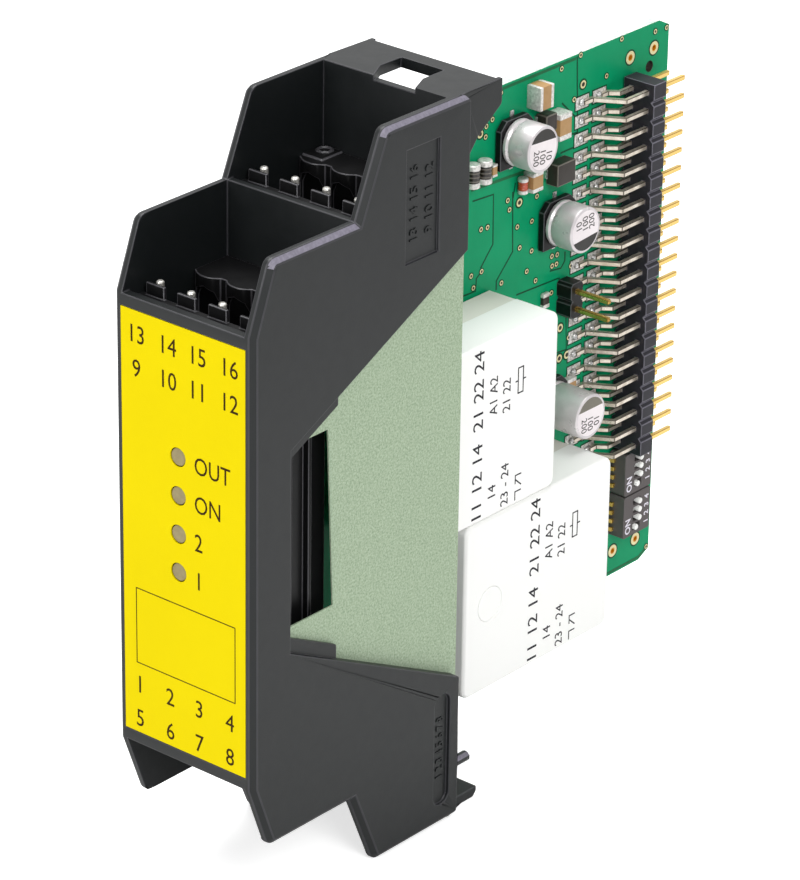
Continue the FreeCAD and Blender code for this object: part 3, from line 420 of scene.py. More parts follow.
@dataclass
class Dressing:
    """A softened copy of a CAD node: merged, cleaned, its edges broken and its curves smooth."""

    name: str
    node: str
    finishes: Sequence[Finish]
    bevel: float
    body: str = MODULE
    segments: int = 2
    smooth: float = 24.0
    merge: bool = True
    # Material index of the broken edges; with a second finish they carry a painted highlight or painted
    # shade.
    rim: int = 1
    pick: Callable[[MeshPolygon], int] | None = None
    edit: Callable[[BMesh], None] | None = None
    flat_angle: float = 1.0
    edge_angle: float = 32.0

    def make(self) -> None:
        """Build the copy and let it replace its node."""
        work = solid(self.node)
        if self.merge:
            bmesh.ops.dissolve_limit(work, angle_limit=math.radians(self.flat_angle), verts=work.verts,
                                     edges=work.edges)
        if self.edit:
            self.edit(work)
        limits = box(vertex.co for vertex in work.verts)
        skin = BVHTree.FromBMesh(work)
        mesh = bpy.data.meshes.new(self.name)
        work.to_mesh(mesh)
        work.free()
        piece = add_object(self.name, mesh, self.finishes)
        if self.bevel:
            # Where there is a second finish, the broken edges take it as a painted highlight or painted
            # shade.
            self._apply(piece, "BEVEL", width=self.bevel * MM, segments=self.segments, limit_method="ANGLE",
                        angle_limit=math.radians(self.edge_angle), use_clamp_overlap=False,
                        material=self.rim if len(self.finishes) > 1 else -1)
            self._hold(piece.data, skin, limits)
        blend_faces(piece.data, self.smooth)
        if self.pick:
            for polygon in piece.data.polygons:
                if not polygon.material_index:
                    polygon.material_index = self.pick(polygon)
        if self.bevel:
            self._apply(piece, "WEIGHTED_NORMAL", weight=100, keep_sharp=True)
        settle(piece, [self.node], self.body)

    def _apply(self, piece: Object, kind: str, **options: object) -> None:
        """Run one modifier on the copy and keep the result as its mesh."""
        adjust(piece.modifiers.new(kind, kind), **options)
        mesh = plain_mesh(piece)
        piece.modifiers.clear()
        old = piece.data
        piece.data = mesh
        bpy.data.meshes.remove(old)
        mesh.name = self.name

    def _hold(self, mesh: Mesh, skin: BVHTree, limits: tuple[Vector, Vector]) -> None:
        """Pull points that the broken edges threw out back onto the solid's skin and into its box."""
        for vertex in mesh.vertices:
            nearest, outward, _, gap = skin.find_nearest(vertex.co)
            if gap > self.bevel * MM / 2 and (vertex.co - nearest).dot(outward) > 0:
                vertex.co = nearest
            vertex.co = [min(max(value, least), most) for value, least, most in zip(vertex.co, *limits)]


class Drawing:
    """Collects thin flat marks and letters on one face and joins them into one piece."""

    def __init__(self, name: str, finish: Finish, level: float, face: Matrix = TO_RIGHT_FACE,
                 thickness: float = 0.02, origin: Point = (0.0, 0.0)) -> None:
        """Start an empty drawing.

        Args:
            name: The piece's name.
            finish: The ink's finish.
            level: Where the face is, measured outwards along its normal.
            face: Which way the face looks.
            thickness: How far the ink stands out.
            origin: What places on the face are counted from.
        """
        self.name, self.finish, self.face = name, finish, face
        self.level, self.thickness, self.origin = level, thickness, Vector(origin)
        self.work = bmesh.new()

    def letters(self, text: str, at: Point, height: float, narrow: float, turn: float = 0.0,
                weight: float = 0.0, align: str = "CENTER") -> None:
        """Write a word or number.

        Args:
            text: What to write.
            at: The middle of the text, along and up the face.
            height: Height of a digit.
            narrow: Width against the plain letter.
            turn: Anticlockwise turn in degrees.
            weight: How much the strokes are thickened.
            align: How the text lies across its place.
        """
        curve = bpy.data.curves.new("letters", "FONT")
        adjust(curve, body=text, align_x=align, size=1.0, offset=weight, extrude=0.5, resolution_u=3)
        helper = linked("letters", curve)
        mesh = plain_mesh(helper)
        low, high = box(vertex.co for vertex in mesh.vertices)
        grow = height / (high.y - low.y)
        mesh.transform(Matrix.Translation((*(Vector(at) + self.origin), self.level))
                       @ Matrix.Rotation(math.radians(turn), 4, "Z")
                       @ Matrix.Diagonal((grow * narrow, grow, self.thickness, 1))
                       @ Matrix.Translation((0, -(low.y + high.y) / 2, 0.5)))
        self.work.from_mesh(mesh)
        bpy.data.objects.remove(helper)
        bpy.data.curves.remove(curve)
        bpy.data.meshes.remove(mesh)

    def upward(self, lines: Sequence[Line], weight: float = 0.0) -> None:
        """Write lines that read upwards, each with its text, place, height and width."""
        for text, at, height, narrow in lines:
            self.letters(text, at, height, narrow, turn=90, weight=weight)

    def line(self, points: Sequence[Point], width: float) -> None:
        """Draw a stroke with mitred corners, closed if it ends where it starts."""
        closed = points[0] == points[-1]
        path = [Vector(point) + self.origin for point in (points[:-1] if closed else points)]
        count = len(path)
        edges = []
        for index, point in enumerate(path):
            before = path[index - 1] if index or closed else point
            after = path[(index + 1) % count] if index < count - 1 or closed else point
            into, out = (point - before).normalized(), (after - point).normalized()
            into = into if into.length else out
            mean = (into + out).normalized()
            side = Vector((-mean.y, mean.x)) * (width / 2 / max(mean.dot(into), 0.3))
            edges.append((point + side, point - side))
        for index in range(count if closed else count - 1):
            (left, right), (next_left, next_right) = edges[index], edges[(index + 1) % count]
            self.plate([left, right, next_right, next_left])

    def plate(self, corners: Sequence[Vector]) -> None:
        """Add a flat convex patch of ink with its corners in anticlockwise order."""
        low, high = ([self.work.verts.new((*corner, level)) for corner in corners]
                     for level in (self.level, self.level + self.thickness))
        self.work.faces.new(high)
        self.work.faces.new(low[::-1])
        for index, corner in enumerate(low):
            following = (index + 1) % len(low)
            self.work.faces.new([corner, low[following], high[following], high[index]])

    def make(self) -> None:
        """Turn the drawing to its face and finish the piece."""
        finished(self.name, self.work, [self.finish], face=self.face, smooth=0)


def lathe(profile: Sequence[Point], segments: int = 56) -> BMesh:
    """Turn a profile of (radius, height), from foot to top, round the X axis into a closed shell."""
    work = bmesh.new()
    turns = [2 * math.pi * step / segments for step in range(segments)]
    rings = [[work.verts.new((height, radius * math.cos(turn), radius * math.sin(turn))) for turn in turns]
             for radius, height in profile]
    for lower, upper in zip(rings, rings[1:]):
        for step in range(segments):
            following = (step + 1) % segments
            work.faces.new([lower[step], lower[following], upper[following], upper[step]])
    work.faces.new(rings[0][::-1])
    work.faces.new(rings[-1])
    bmesh.ops.recalc_face_normals(work, faces=work.faces)
    return work


def islands(node: str) -> list[tuple[Vector, Vector]]:
    """Give the box of every separate solid in a CAD node, in millimetres, always in one order."""
    def rank(found: tuple[Vector, Vector]) -> tuple[float, ...]:
        """Put lower solids first, then nearer ones, and the taller of two that share a corner."""
        low, high = found
        return round(low.z, 4), round(low.y, 4), low.x, -high.z, high.x

    work = solid(node)
    left, boxes = set(work.verts), []
    while left:
        group, queue = [], [left.pop()]
        while queue:
            vertex = queue.pop()
            group.append(vertex.co / MM)
            near = {edge.other_vert(vertex) for edge in vertex.link_edges} & left
            left -= near
            queue.extend(near)
        boxes.append(box(group))
    work.free()
    return sorted(boxes, key=rank)


def soft_block(work: BMesh, low: Vector, high: Vector, bevel: float, material: int,
               rim: int = -1) -> None:
    """Add a block with broken edges.

    Args:
        work: The mesh that takes it.
        low: Lowest corner in millimetres.
        high: Highest corner in millimetres.
        bevel: Width of the broken edge.
        material: Material index of its faces.
        rim: Material index of the broken edges, used for a painted highlight, or -1 for the same.
    """
    part = bmesh.new()
    bmesh.ops.create_cube(part, size=1.0)
    for vertex in part.verts:
        vertex.co = (low + high) / 2 + vertex.co * (high - low)
    for face in part.faces:
        face.material_index = material
    bmesh.ops.bevel(part, geom=part.edges[:], offset=bevel, segments=2, affect="EDGES", profile=0.6,
                    material=rim)
    absorb(work, part)


# ---- geometry node trees -----------------------------------------------------------------
class RepeatTree:
    """A geometry node tree with named inputs that runs on points or paths."""

    def __init__(self, name: str, *numbers: str) -> None:
        """Start the tree with the names of its number inputs."""
        self.wires = Wiring.group(name, "GeometryNodeTree", {
            "Geometry": "Geometry", **dict.fromkeys(numbers, "Float"), "Material": "Material"},
            {"Geometry": "Geometry"})
        self.add = self.wires.add
        self.given = self.add("NodeGroupInput")

    def sweep(self, curve: NodeSocket, width: object, height: object,
              caps: bool) -> NodeSocket:
        """Sweep a flat section along a curve and give the mesh."""
        section = self.add("GeometryNodeCurvePrimitiveQuadrilateral", {"Width": width, "Height": height})
        return self.add("GeometryNodeCurveToMesh", {
            "Curve": curve, "Profile Curve": section["Curve"], "Fill Caps": caps})["Mesh"]

    def close(self, geometry: NodeSocket) -> "RepeatTree":
        """End the tree in Realize Instances and Set Material and give it back."""
        real = self.add("GeometryNodeRealizeInstances", {"Geometry": geometry})
        coat = self.add("GeometryNodeSetMaterial", {
            "Geometry": real["Geometry"], "Material": self.given["Material"]})
        self.add("NodeGroupOutput", {"Geometry": coat["Geometry"]})
        return self

    def run(self, name: str, seed: Mesh, finish: Finish, face: Matrix, smooth: float,
            **values: float) -> None:
        """Run the tree on a mesh of points or paths and finish the piece.

        Args:
            name: The piece's name.
            seed: The points or paths, in millimetres.
            finish: The piece's finish.
            face: Turns and moves it to its face.
            smooth: Angle up to which its faces blend, in degrees.
            values: The named number inputs.
        """
        helper = linked(name, seed)
        step = helper.modifiers.new(name, "NODES")
        step.node_group = self.wires.tree
        keys = {item.name: item.identifier for item in self.wires.tree.interface.items_tree
                if item.in_out == "INPUT"}
        for label, value in {**values, "Material": finish.material()}.items():
            step[keys[label]] = value
        mesh = plain_mesh(helper)
        bpy.data.objects.remove(helper)
        bpy.data.meshes.remove(seed)
        work = bmesh.new()
        work.from_mesh(mesh)
        bpy.data.meshes.remove(mesh)
        bmesh.ops.remove_doubles(work, verts=work.verts, dist=UNIT_WELD)
        bmesh.ops.recalc_face_normals(work, faces=work.faces)
        finished(name, work, [finish], face=face, smooth=smooth)


class Dab(Enum):
    """The unit shapes that can be repeated over points."""

    BLOB = "blob"
    EYELET = "eyelet"
    DISC = "disc"
    CONE = "cone"


@cache
def repeat_tree(shape: Dab) -> RepeatTree:
    """Build the tree that repeats one unit shape over points that carry a size."""
    made = RepeatTree(f"repeat_{shape.value}", "Turn", "Uneven")
    if shape is Dab.BLOB:
        mesh = made.add("GeometryNodeMeshIcoSphere", {"Radius": 1.0, "Subdivisions": 3})["Mesh"]
    elif shape is Dab.EYELET:
        rim = made.add("GeometryNodeCurvePrimitiveCircle", {"Radius": 0.76, "Resolution": 20})
        mesh = made.sweep(rim["Curve"], 0.48, 1.0, False)
    else:
        mesh = made.add("GeometryNodeMeshCone", {
            "Vertices": 20, "Radius Bottom": 1.0, "Radius Top": 1.0 if shape is Dab.DISC else 0.3,
            "Depth": 1.0})["Mesh"]
    less = made.add("ShaderNodeMath", {0: made.given["Turn"], 1: -1.0}, operation="MULTIPLY")
    low = made.add("ShaderNodeCombineXYZ", {"Z": less["Value"]})
    high = made.add("ShaderNodeCombineXYZ", {"Z": made.given["Turn"]})
    spin = made.add("FunctionNodeRandomValue", {"Min": low["Vector"], "Max": high["Vector"], "Seed": 7},
                    data_type="FLOAT_VECTOR")
    least = made.add("ShaderNodeMath", {0: 1.0, 1: made.given["Uneven"]}, operation="SUBTRACT")
    vary = made.add("FunctionNodeRandomValue", {"Min": least["Value"], "Max": (1.0, 1.0, 1.0), "Seed": 11},
                    data_type="FLOAT_VECTOR")
    size = made.add("GeometryNodeInputNamedAttribute", {"Name": "size"}, data_type="FLOAT_VECTOR")
    grow = made.add("ShaderNodeVectorMath", {0: size["Attribute"], 1: vary["Value"]}, operation="MULTIPLY")
    placed = made.add("GeometryNodeInstanceOnPoints", {
        "Points": made.given["Geometry"], "Instance": mesh, "Rotation": spin["Value"],
        "Scale": grow["Vector"]})
    return made.close(placed["Instances"])


@cache
def strip_tree() -> RepeatTree:
    """Build the tree that lays a flat strip along paths."""
    made = RepeatTree("strip_along_path", "Width", "Thickness")
    curve = made.add("GeometryNodeMeshToCurve", {"Mesh": made.given["Geometry"]})
    return made.close(made.sweep(curve["Curve"], made.given["Width"], made.given["Thickness"], True))


def dabs(name: str, shape: Dab, finish: Finish, places: Sequence[Spot], sizes: Sequence[Spot],
         face: Matrix = PARTS_SIDE, turn: float = 0.0, uneven: float = 0.0) -> None:
    """Repeat one unit shape over points of a face.

    Args:
        name: The piece's name.
        shape: The unit shape.
        finish: Its finish.
        places: Along, up and out of each one.
        sizes: Their three scales, taken in turn.
        face: Turns the points to their face.
        turn: Largest random turn, in radians.
        uneven: Largest random loss of size, as a share.
    """
    seed = bpy.data.meshes.new("points")
    seed.from_pydata(places, [], [])
    attribute = seed.attributes.new("size", "FLOAT_VECTOR", "POINT")
    for value, size in zip(attribute.data, cycle(sizes)):
        value.vector = size
    repeat_tree(shape).run(name, seed, finish, face, 40.0, Turn=turn, Uneven=uneven)


def strips(name: str, finish: Finish, paths: Sequence[Sequence[Point]], width: float, level: float = 0.01,
           face: Matrix = PARTS_SIDE, thickness: float = 0.02) -> None:
    """Lay strips of one width along paths of a face.

    Args:
        name: The piece's name.
        finish: Its finish.
        paths: The corners of each strip.
        width: Width of the strips.
        level: Height of their middle.
        face: Turns them to their face.
        thickness: Thickness of the strips.
    """
    corners: list[Spot] = []
    edges: list[tuple[int, int]] = []
    for path in paths:
        edges += [(step, step + 1) for step in range(len(corners), len(corners) + len(path) - 1)]
        corners += [(*point, level) for point in path]
    seed = bpy.data.meshes.new("paths")
    seed.from_pydata(corners, edges, [])
    strip_tree().run(name, seed, finish, face, 30.0, Width=width, Thickness=thickness)


# ---- the studio --------------------------------------------------------------------------
@dataclass
class Studio:
    """Camera, floor, backdrop and lamps."""

    camera_place: Spot = (340.5605, -364.7964, 246.5918)
    camera_axes: tuple[Spot, Spot, Spot] = (
        (0.7611152, 0.6484788, 0.0133740), (-0.2833032, 0.3138212, 0.9062315),
        (0.5834749, -0.6935355, 0.4225702))
    lens: float = 189.865
    sensor: float = 36.0
    clip: Point = (0.01, 10.0)
    floor_drop: float = 0.05
    floor_half: float = 900.0
    floor_grey: float = 0.9
    floor_lift: float = 0.6
    ambient: float = 0.4
    aim: Spot = (0.0, 45.0, 0.0)
    lamps: tuple[tuple[str, Spot, float, float], ...] = (
        ("key", (520.0, -260.0, 420.0), 260.0, 2.3),
        ("front", (-60.0, -620.0, 210.0), 260.0, 1.65),
        ("top", (-120.0, 120.0, 620.0), 460.0, 4.3))

    def build(self) -> None:
        """Set up everything that isn't the object."""
        bpy.context.scene.view_settings.view_transform = "Standard"
        self._camera()
        self._world()
        self._floor()
        for name, place, size, power in self.lamps:
            self._lamp(name, Vector(place) * MM, size * MM, power)
        LOG.info("studio: camera, backdrop, floor and %d lamps", len(self.lamps))

    def _camera(self) -> None:
        """Place the camera and make it the scene's own."""
        data = bpy.data.cameras.new("camera")
        near, far = self.clip
        adjust(data, lens=self.lens, sensor_width=self.sensor, clip_start=near, clip_end=far)
        camera = linked("camera", data)
        turn = Matrix(self.camera_axes).transposed().to_4x4()
        camera.matrix_world = Matrix.Translation(Vector(self.camera_place) * MM) @ turn
        bpy.context.scene.camera = camera

    def _world(self) -> None:
        """White to the eye and in reflections, a soft grey as light."""
        world = bpy.data.worlds.new("backdrop")
        bpy.context.scene.world = world
        world.use_nodes = True
        wires = Wiring(world.node_tree)
        path = wires.add("ShaderNodeLightPath")
        seen = wires.add("ShaderNodeMath", {0: path["Is Camera Ray"], 1: path["Is Transmission Ray"]},
                         operation="MAXIMUM")
        clear = wires.add("ShaderNodeMath", {0: seen["Value"], 1: path["Is Glossy Ray"]},
                          operation="MAXIMUM")
        level = wires.add("ShaderNodeMapRange", {
            "Value": clear["Value"], "To Min": self.ambient, "To Max": 1.0})
        wires.set(world.node_tree.nodes["Background"], {"Color": (1, 1, 1, 1), "Strength": level["Result"]})

    def _floor(self) -> None:
        """Plain pale floor just under the object, with its shadow kept faint."""
        low = CAD_BOX[0].z - self.floor_drop * MM
        half = self.floor_half * MM
        mesh = bpy.data.meshes.new("floor")
        mesh.from_pydata([(-half, -half, low), (half, -half, low), (half, half, low), (-half, half, low)],
                         [], [(0, 1, 2, 3)])
        floor = linked("floor", mesh)
        made = bpy.data.materials.new("studio_floor")
        made.use_nodes = True
        wires = Wiring(made.node_tree)
        path = wires.add("ShaderNodeLightPath")
        lift = wires.add("ShaderNodeMath", {0: path["Is Camera Ray"], 1: self.floor_lift},
                         operation="MULTIPLY")
        wires.set(made.node_tree.nodes["Principled BSDF"], {
            "Base Color": (self.floor_grey, self.floor_grey, self.floor_grey, 1), "Roughness": 0.9,
            "Specular IOR Level": 0.0, "Emission Color": (1, 1, 1, 1), "Emission Strength": lift["Value"]})
        mesh.materials.append(made)

    def _lamp(self, name: str, place: Vector, size: float, power: float) -> None:
        """Add one soft lamp that looks at the object, with its place and side in metres."""
        data = bpy.data.lights.new(name, "AREA")
        adjust(data, energy=power, shape="SQUARE", size=size)
        lamp = linked(name, data)
        turn = (Vector(self.aim) * MM - place).to_track_quat("-Z", "Y").to_matrix().to_4x4()
        lamp.matrix_world = Matrix.Translation(place) @ turn


# ---- housing and label -------------------------------------------------------------------
@dataclass
class Housing:
    """Front housing with its raised terminal numbers."""

    edge: float = 0.14
    lit: float = 0.3
    mark_rise: float = 0.12
    marks: tuple[tuple[str, float, tuple[Line, ...]], ...] = (
        ("upper", 10.9, (("13 14 15 16", (28.95, 38.2), 1.45, 1.05),
                         ("9 10 11 12", (31.75, 38.2), 1.45, 1.05))),
        ("lower", 10.75, (("1 2 3 4 5 6 7 8", (35.8, -38.5), 1.3775, 0.8),)))

    def build(self) -> None:
        """Make the softened housing and the raised numbers."""
        def lit_chamfer(polygon: MeshPolygon) -> int:
            """Find the chamfers that look up and outwards along the right wall, which get a painted
            highlight.
            """
            return 2 if polygon.normal.x > self.lit and polygon.normal.z > self.lit else 0

        # The broken edges take a painted highlight, and the chamfers that look up and outwards a brighter
        # one.
        Dressing("housing_shell", "front_housing", [Finishes.HOUSING, Finishes.RIM, Finishes.LIT_RIM],
                 self.edge, merge=False, pick=lit_chamfer).make()
        for name, level, lines in self.marks:
            marks = Drawing(f"raised_numbers_{name}", Finishes.MARKS, level, thickness=self.mark_rise)
            marks.upward(lines, weight=0.01)
            marks.make()


@dataclass
class FrontLabel:
    """Yellow film with the terminal numbers, lamp legends and the empty type field."""

    sink: float = 0.03
    columns: tuple[float, ...] = (-7.45, -2.4, 2.4, 7.45)
    rows: tuple[tuple[float, int], ...] = ((25.3, 13), (20.85, 9), (-21.6, 1), (-26.3, 5))
    digit: float = 2.3
    digit_width: float = 0.9
    legend_width: float = 0.84
    legends: tuple[tuple[str, float], ...] = (("OUT", 11.1), ("ON", 6.0), ("2", 0.9), ("1", -4.2))
    legend_left: float = 1.75
    field: tuple[Point, ...] = (
        (-7.9, -18.65), (8.3, -18.65), (8.3, -8.45), (-7.9, -8.45), (-7.9, -18.65))
    field_line: float = 0.13

    def build(self) -> None:
        """Make the film and its print."""
        def sink_face(work: BMesh) -> None:
            """Draw the film's face back so that the print stays inside the module's length."""
            for vertex in work.verts:
                if vertex.co.y < self.sink * MM / 2:
                    vertex.co.y = self.sink * MM

        Dressing("label_film", "front_label", [Finishes.LABEL], 0.0, edit=sink_face).make()
        ink = Drawing("label_print", Finishes.INK, -self.sink, TO_FRONT_FACE)
        for (height, first), (index, column) in product(self.rows, enumerate(self.columns)):
            ink.letters(str(first + index), (column, height), self.digit, self.digit_width)
        for legend, height in self.legends:
            ink.letters(legend, (self.legend_left, height), self.digit, self.legend_width, align="LEFT")
        ink.line(self.field, self.field_line)
        ink.make()


# ---- board -------------------------------------------------------------------------------
@dataclass
class Board:
    """Circuit board: mask, bare edges, tracks, eyelets, plated bores and solder joints."""

    edge: float = 0.04
    inside: Spot = (39.0, 97.8, 38.0)
    track: float = 0.24
    tracks: tuple[tuple[Point, ...], ...] = (
        ((79.8, 39.2), (80.4, 27.1)), ((76.9, 26.7), (80.9, 26.7)),
        ((59.1, 25.3), (63.3, 25.0), (63.4, 18.1), (61.0, 15.5)), ((67.7, 25.3), (67.3, 23.3)),
        ((58.5, 36.0), (60.4, 35.8), (60.4, 37.2)), ((80.3, 30.4), (76.9, 33.6)),
        ((76.8, 28.8), (80.3, 28.6)),
        ((67.2, 24.2), (67.5, 15.8), (64.3, 12.7), (64.3, 11.4)), ((68.5, 9.4), (77.4, 9.0), (77.5, 7.5)),
        ((57.5, 12.7), (60.1, 12.6), (60.2, 14.3), (61.2, 15.0)), ((79.0, 5.0), (79.4, -1.9), (77.2, -1.7)),
        ((57.4, 11.6), (59.5, 11.5)), ((78.5, 12.4), (78.5, 11.1), (77.7, 10.3), (75.4, 10.6)),
        ((82.3, 8.8), (84.5, 8.8)), ((82.4, 6.4), (84.7, 6.3)), ((82.2, 4.0), (84.5, 4.0)),
        ((49.2, 33.0), (56.0, 33.0), (57.6, 31.4)), ((46.5, 24.0), (54.0, 24.0), (56.4, 21.6), (56.4, 16.5)),
        ((40.8, 28.2), (48.4, 28.2), (50.2, 30.0)), ((41.0, 19.5), (47.4, 19.5), (49.4, 17.5)),
        ((79.8, -16.5), (84.4, -16.5), (86.0, -18.1)), ((78.6, -22.0), (86.2, -22.0)),
        ((80.6, -31.5), (86.8, -31.5), (88.2, -33.0)), ((77.6, -34.8), (84.8, -34.8)))
    bands: tuple[tuple[Point, ...], ...] = (
        ((38.4, 39.0), (79.6, 39.0)), ((58.8, 26.9), (69.7, 26.3)),
        ((38.4, -39.1), (97.1, -39.1), (98.9, -38.2)))
    band: float = 0.42
    via_radius: float = 0.34
    vias: tuple[Point, ...] = (
        (64.3, 38.5), (62.0, 38.0), (62.7, 37.1), (61.5, 36.4), (62.7, 35.4), (61.5, 34.8), (61.4, 33.4),
        (72.2, 22.1), (66.2, 23.3), (66.6, 21.9), (76.6, 38.4), (80.5, 39.2), (89.1, 39.1), (86.1, 34.8),
        (79.4, 33.4), (96.3, 38.2), (98.75, 38.1), (60.9, 20.9), (62.2, 20.8), (68.3, 19.0), (71.3, 18.9),
        (68.9, 15.9), (71.4, 14.7), (70.5, 12.1), (72.4, 10.2), (65.3, 12.1), (61.2, 15.0), (59.1, 15.0),
        (59.6, 13.2), (75.8, 7.4), (79.8, -0.3), (79.8, 10.0), (75.7, 12.6), (76.8, 12.5), (75.8, 11.2),
        (76.7, 11.2), (80.0, -5.9), (98.75, -38.1), (52.0, 35.4), (47.5, 36.2), (44.6, 31.5), (53.2, 27.9),
        (48.0, 22.4), (43.2, 15.2), (51.4, 19.0), (57.8, 23.2), (82.6, -36.6), (79.4, -29.9), (84.0, -25.6))
    wide_radius: float = 0.56
    wide_vias: tuple[Point, ...] = (
        (60.3, 34.1), (59.1, 34.3), (68.6, 22.3), (81.2, 35.0), (77.9, 1.7), (77.9, -2.7), (79.5, -2.7))
    # The last layer is a dark disc of painted shade where each via's hole is.
    via_layers: tuple[tuple[str, Dab, Finish, float, float], ...] = (
        ("via_clearances", Dab.DISC, Finishes.TRACK, 1.42, 0.04),
        ("via_rings", Dab.EYELET, Finishes.EYELET, 1.0, 0.1),
        ("via_shade_discs", Dab.DISC, Finishes.HOLE, 0.54, 0.07))
    bores: tuple[Point, ...] = ((91.1, 35.96), (96.15, 35.96), (91.1, -35.96), (96.15, -35.96))
    bore_layers: tuple[tuple[str, Finish, float, float, float], ...] = (
        ("bore_clearances", Finishes.TRACK, 0.0, 1.125, 0.03), ("bore_rims", Finishes.EYELET, 0.0, 0.9, 0.06),
        ("bore_linings", Finishes.COPPER, -BOARD_THICKNESS / 2, 0.6426, BOARD_THICKNESS + 0.04))
    soldered: tuple[str, ...] = (
        "lamp_legs", "jumper_pins", "relay_pins_upper", "relay_pins_lower", "contacts_front_upper",
        "contacts_front_lower", "contacts_rear_upper", "contacts_rear_lower")
    contact_inset: float = 0.3
    joint_rise: float = 0.3
    joint: Spot = (0.85, 0.85, 0.62)
    back_ring: Spot = (0.34, 0.34, 0.05)

    def build(self) -> None:
        """Make the board, its copper side and its solder side."""
        def side_or_edge(polygon: MeshPolygon) -> int:
            """Tell the masked sides, the bare outer edges and the walls of the holes apart."""
            if abs(polygon.normal.x) > 0.9:
                return 0
            _, along, up = polygon.center / MM
            # The walls of the holes get the dark hole finish as painted shade.
            return 2 if self.inside[0] < along < self.inside[1] and abs(up) < self.inside[2] else 1

        Dressing("board_laminate", "main_board", [Finishes.MASK, Finishes.BOARD_EDGE, Finishes.HOLE],
                 self.edge, segments=1, rim=-1, pick=side_or_edge).make()
        strips("tracks_front", Finishes.TRACK, self.tracks, self.track)
        strips("track_bands", Finishes.BAND, self.bands, self.band)
        radii = [self.via_radius] * len(self.vias) + [self.wide_radius] * len(self.wide_vias)
        for name, shape, finish, share, rise in self.via_layers:
            dabs(name, shape, finish, [(*via, 0.0) for via in self.vias + self.wide_vias],
                 [(radius * share, radius * share, rise) for radius in radii])
        for name, finish, depth, radius, rise in self.bore_layers:
            dabs(name, Dab.EYELET, finish, [(*bore, depth) for bore in self.bores], [(radius, radius, rise)])
        self._solder_side()

    def _solder_side(self) -> None:
        """Put a solder cone round every lead on the back, with a few tracks between them."""
        leads: list[Spot] = []
        for node in self.soldered:
            for low, high in islands(node):
                height = (high.z + low.z) / 2
                if node.startswith("contacts"):
                    upper = node.endswith("upper")
                    height = low.z + self.contact_inset if upper else high.z - self.contact_inset
                leads.append((-(low.y + high.y) / 2, height, self.joint_rise))
        dabs("solder_joints", Dab.CONE, Finishes.SOLDER, leads, [self.joint], SOLDER_SIDE, turn=1.5,
             uneven=0.15)
        dabs("via_rings_back", Dab.EYELET, Finishes.EYELET,
             [(-along, up, 0.0) for along, up in self.vias + self.wide_vias],
             [self.back_ring], SOLDER_SIDE)
        mirrored = [tuple((-along, up) for along, up in path) for path in self.tracks + self.bands]
        strips("tracks_back", Finishes.TRACK, mirrored, self.track, face=SOLDER_SIDE)


# ---- parts that only need their edges broken ---------------------------------------------
@dataclass
class PlainParts:
    """Lamps, headers, relay cases and other parts.

    Each row has the piece's and the CAD node's name, the keys that stand in the place of {} in both
    ("-" where there is none), the width and the steps of the broken edge, and the finishes.
    """

    # Black mouldings carry a painted highlight on their broken edges.
    moulding: tuple[Finish, ...] = (Finishes.MOULDED, Finishes.MOULDED_RIM)
    rows: tuple[tuple[str, str, str, float, int, tuple[Finish, ...]], ...] = (
        ("lamp_lens_{}", "lamp_{}", "1 2 3 4", 0.12, 2, (Finishes.LENS,)),
        ("carrier_moulding", "lamp_carrier", "-", 0.1, 2, moulding),
        ("lamp_wires", "lamp_legs", "-", 0.08, 2, (Finishes.POST,)),
        ("sheet_film", "insulating_sheet", "-", 0.03, 1, (Finishes.SHEET,)),
        ("header_moulding_{}", "header_{}", "front_upper front_lower rear_upper rear_lower", 0.12, 2,
         moulding),
        ("contact_row_{}", "contacts_{}", "front_upper front_lower rear_upper rear_lower", 0.22, 2,
         (Finishes.POST,)),
        ("relay_case_{}", "relay_cover_{}", "upper lower", 0.16, 3, (Finishes.RELAY,)),
        ("relay_foot_{}", "relay_base_{}", "upper lower", 0.1, 2, (Finishes.RELAY_BASE,)),
        ("relay_leads_{}", "relay_pins_{}", "upper lower", 0.05, 2, (Finishes.POST,)),
        ("can_base_{}", "capacitor_base_{}", "upper middle lower", 0.1, 2, moulding),
        ("can_leads", "capacitor_leads", "-", 0.05, 2, (Finishes.SOLDER,)),
        # The header body's broken edges carry a painted highlight.
        ("header_insulator", "bus_header_body", "-", 0.1, 2, (Finishes.HEADER, Finishes.HEADER_RIM)),
        # The pins' broken edges carry painted shade.
        ("header_pins_{}", "bus_pins_{}", "near far", 0.09, 2, (Finishes.TIN, Finishes.TIN_EDGE)),
        ("jumper_moulding", "jumper_body", "-", 0.1, 2, moulding),
        # The posts' broken edges carry painted shade.
        ("jumper_posts", "jumper_pins", "-", 0.08, 2, (Finishes.GOLD, Finishes.GOLD_EDGE)),
        ("switch_case_{}", "switch_{}", "upper lower", 0.05, 2, (Finishes.SWITCH,)),
        ("switch_gull_leads", "switch_leads", "-", 0.05, 2, (Finishes.GOLD,)))

    def build(self) -> None:
        """Dress every part."""
        for piece, node, keys, bevel, segments, finishes in self.rows:
            for key in keys.split():
                Dressing(piece.format(key), node.format(key), finishes, bevel, segments=segments).make()


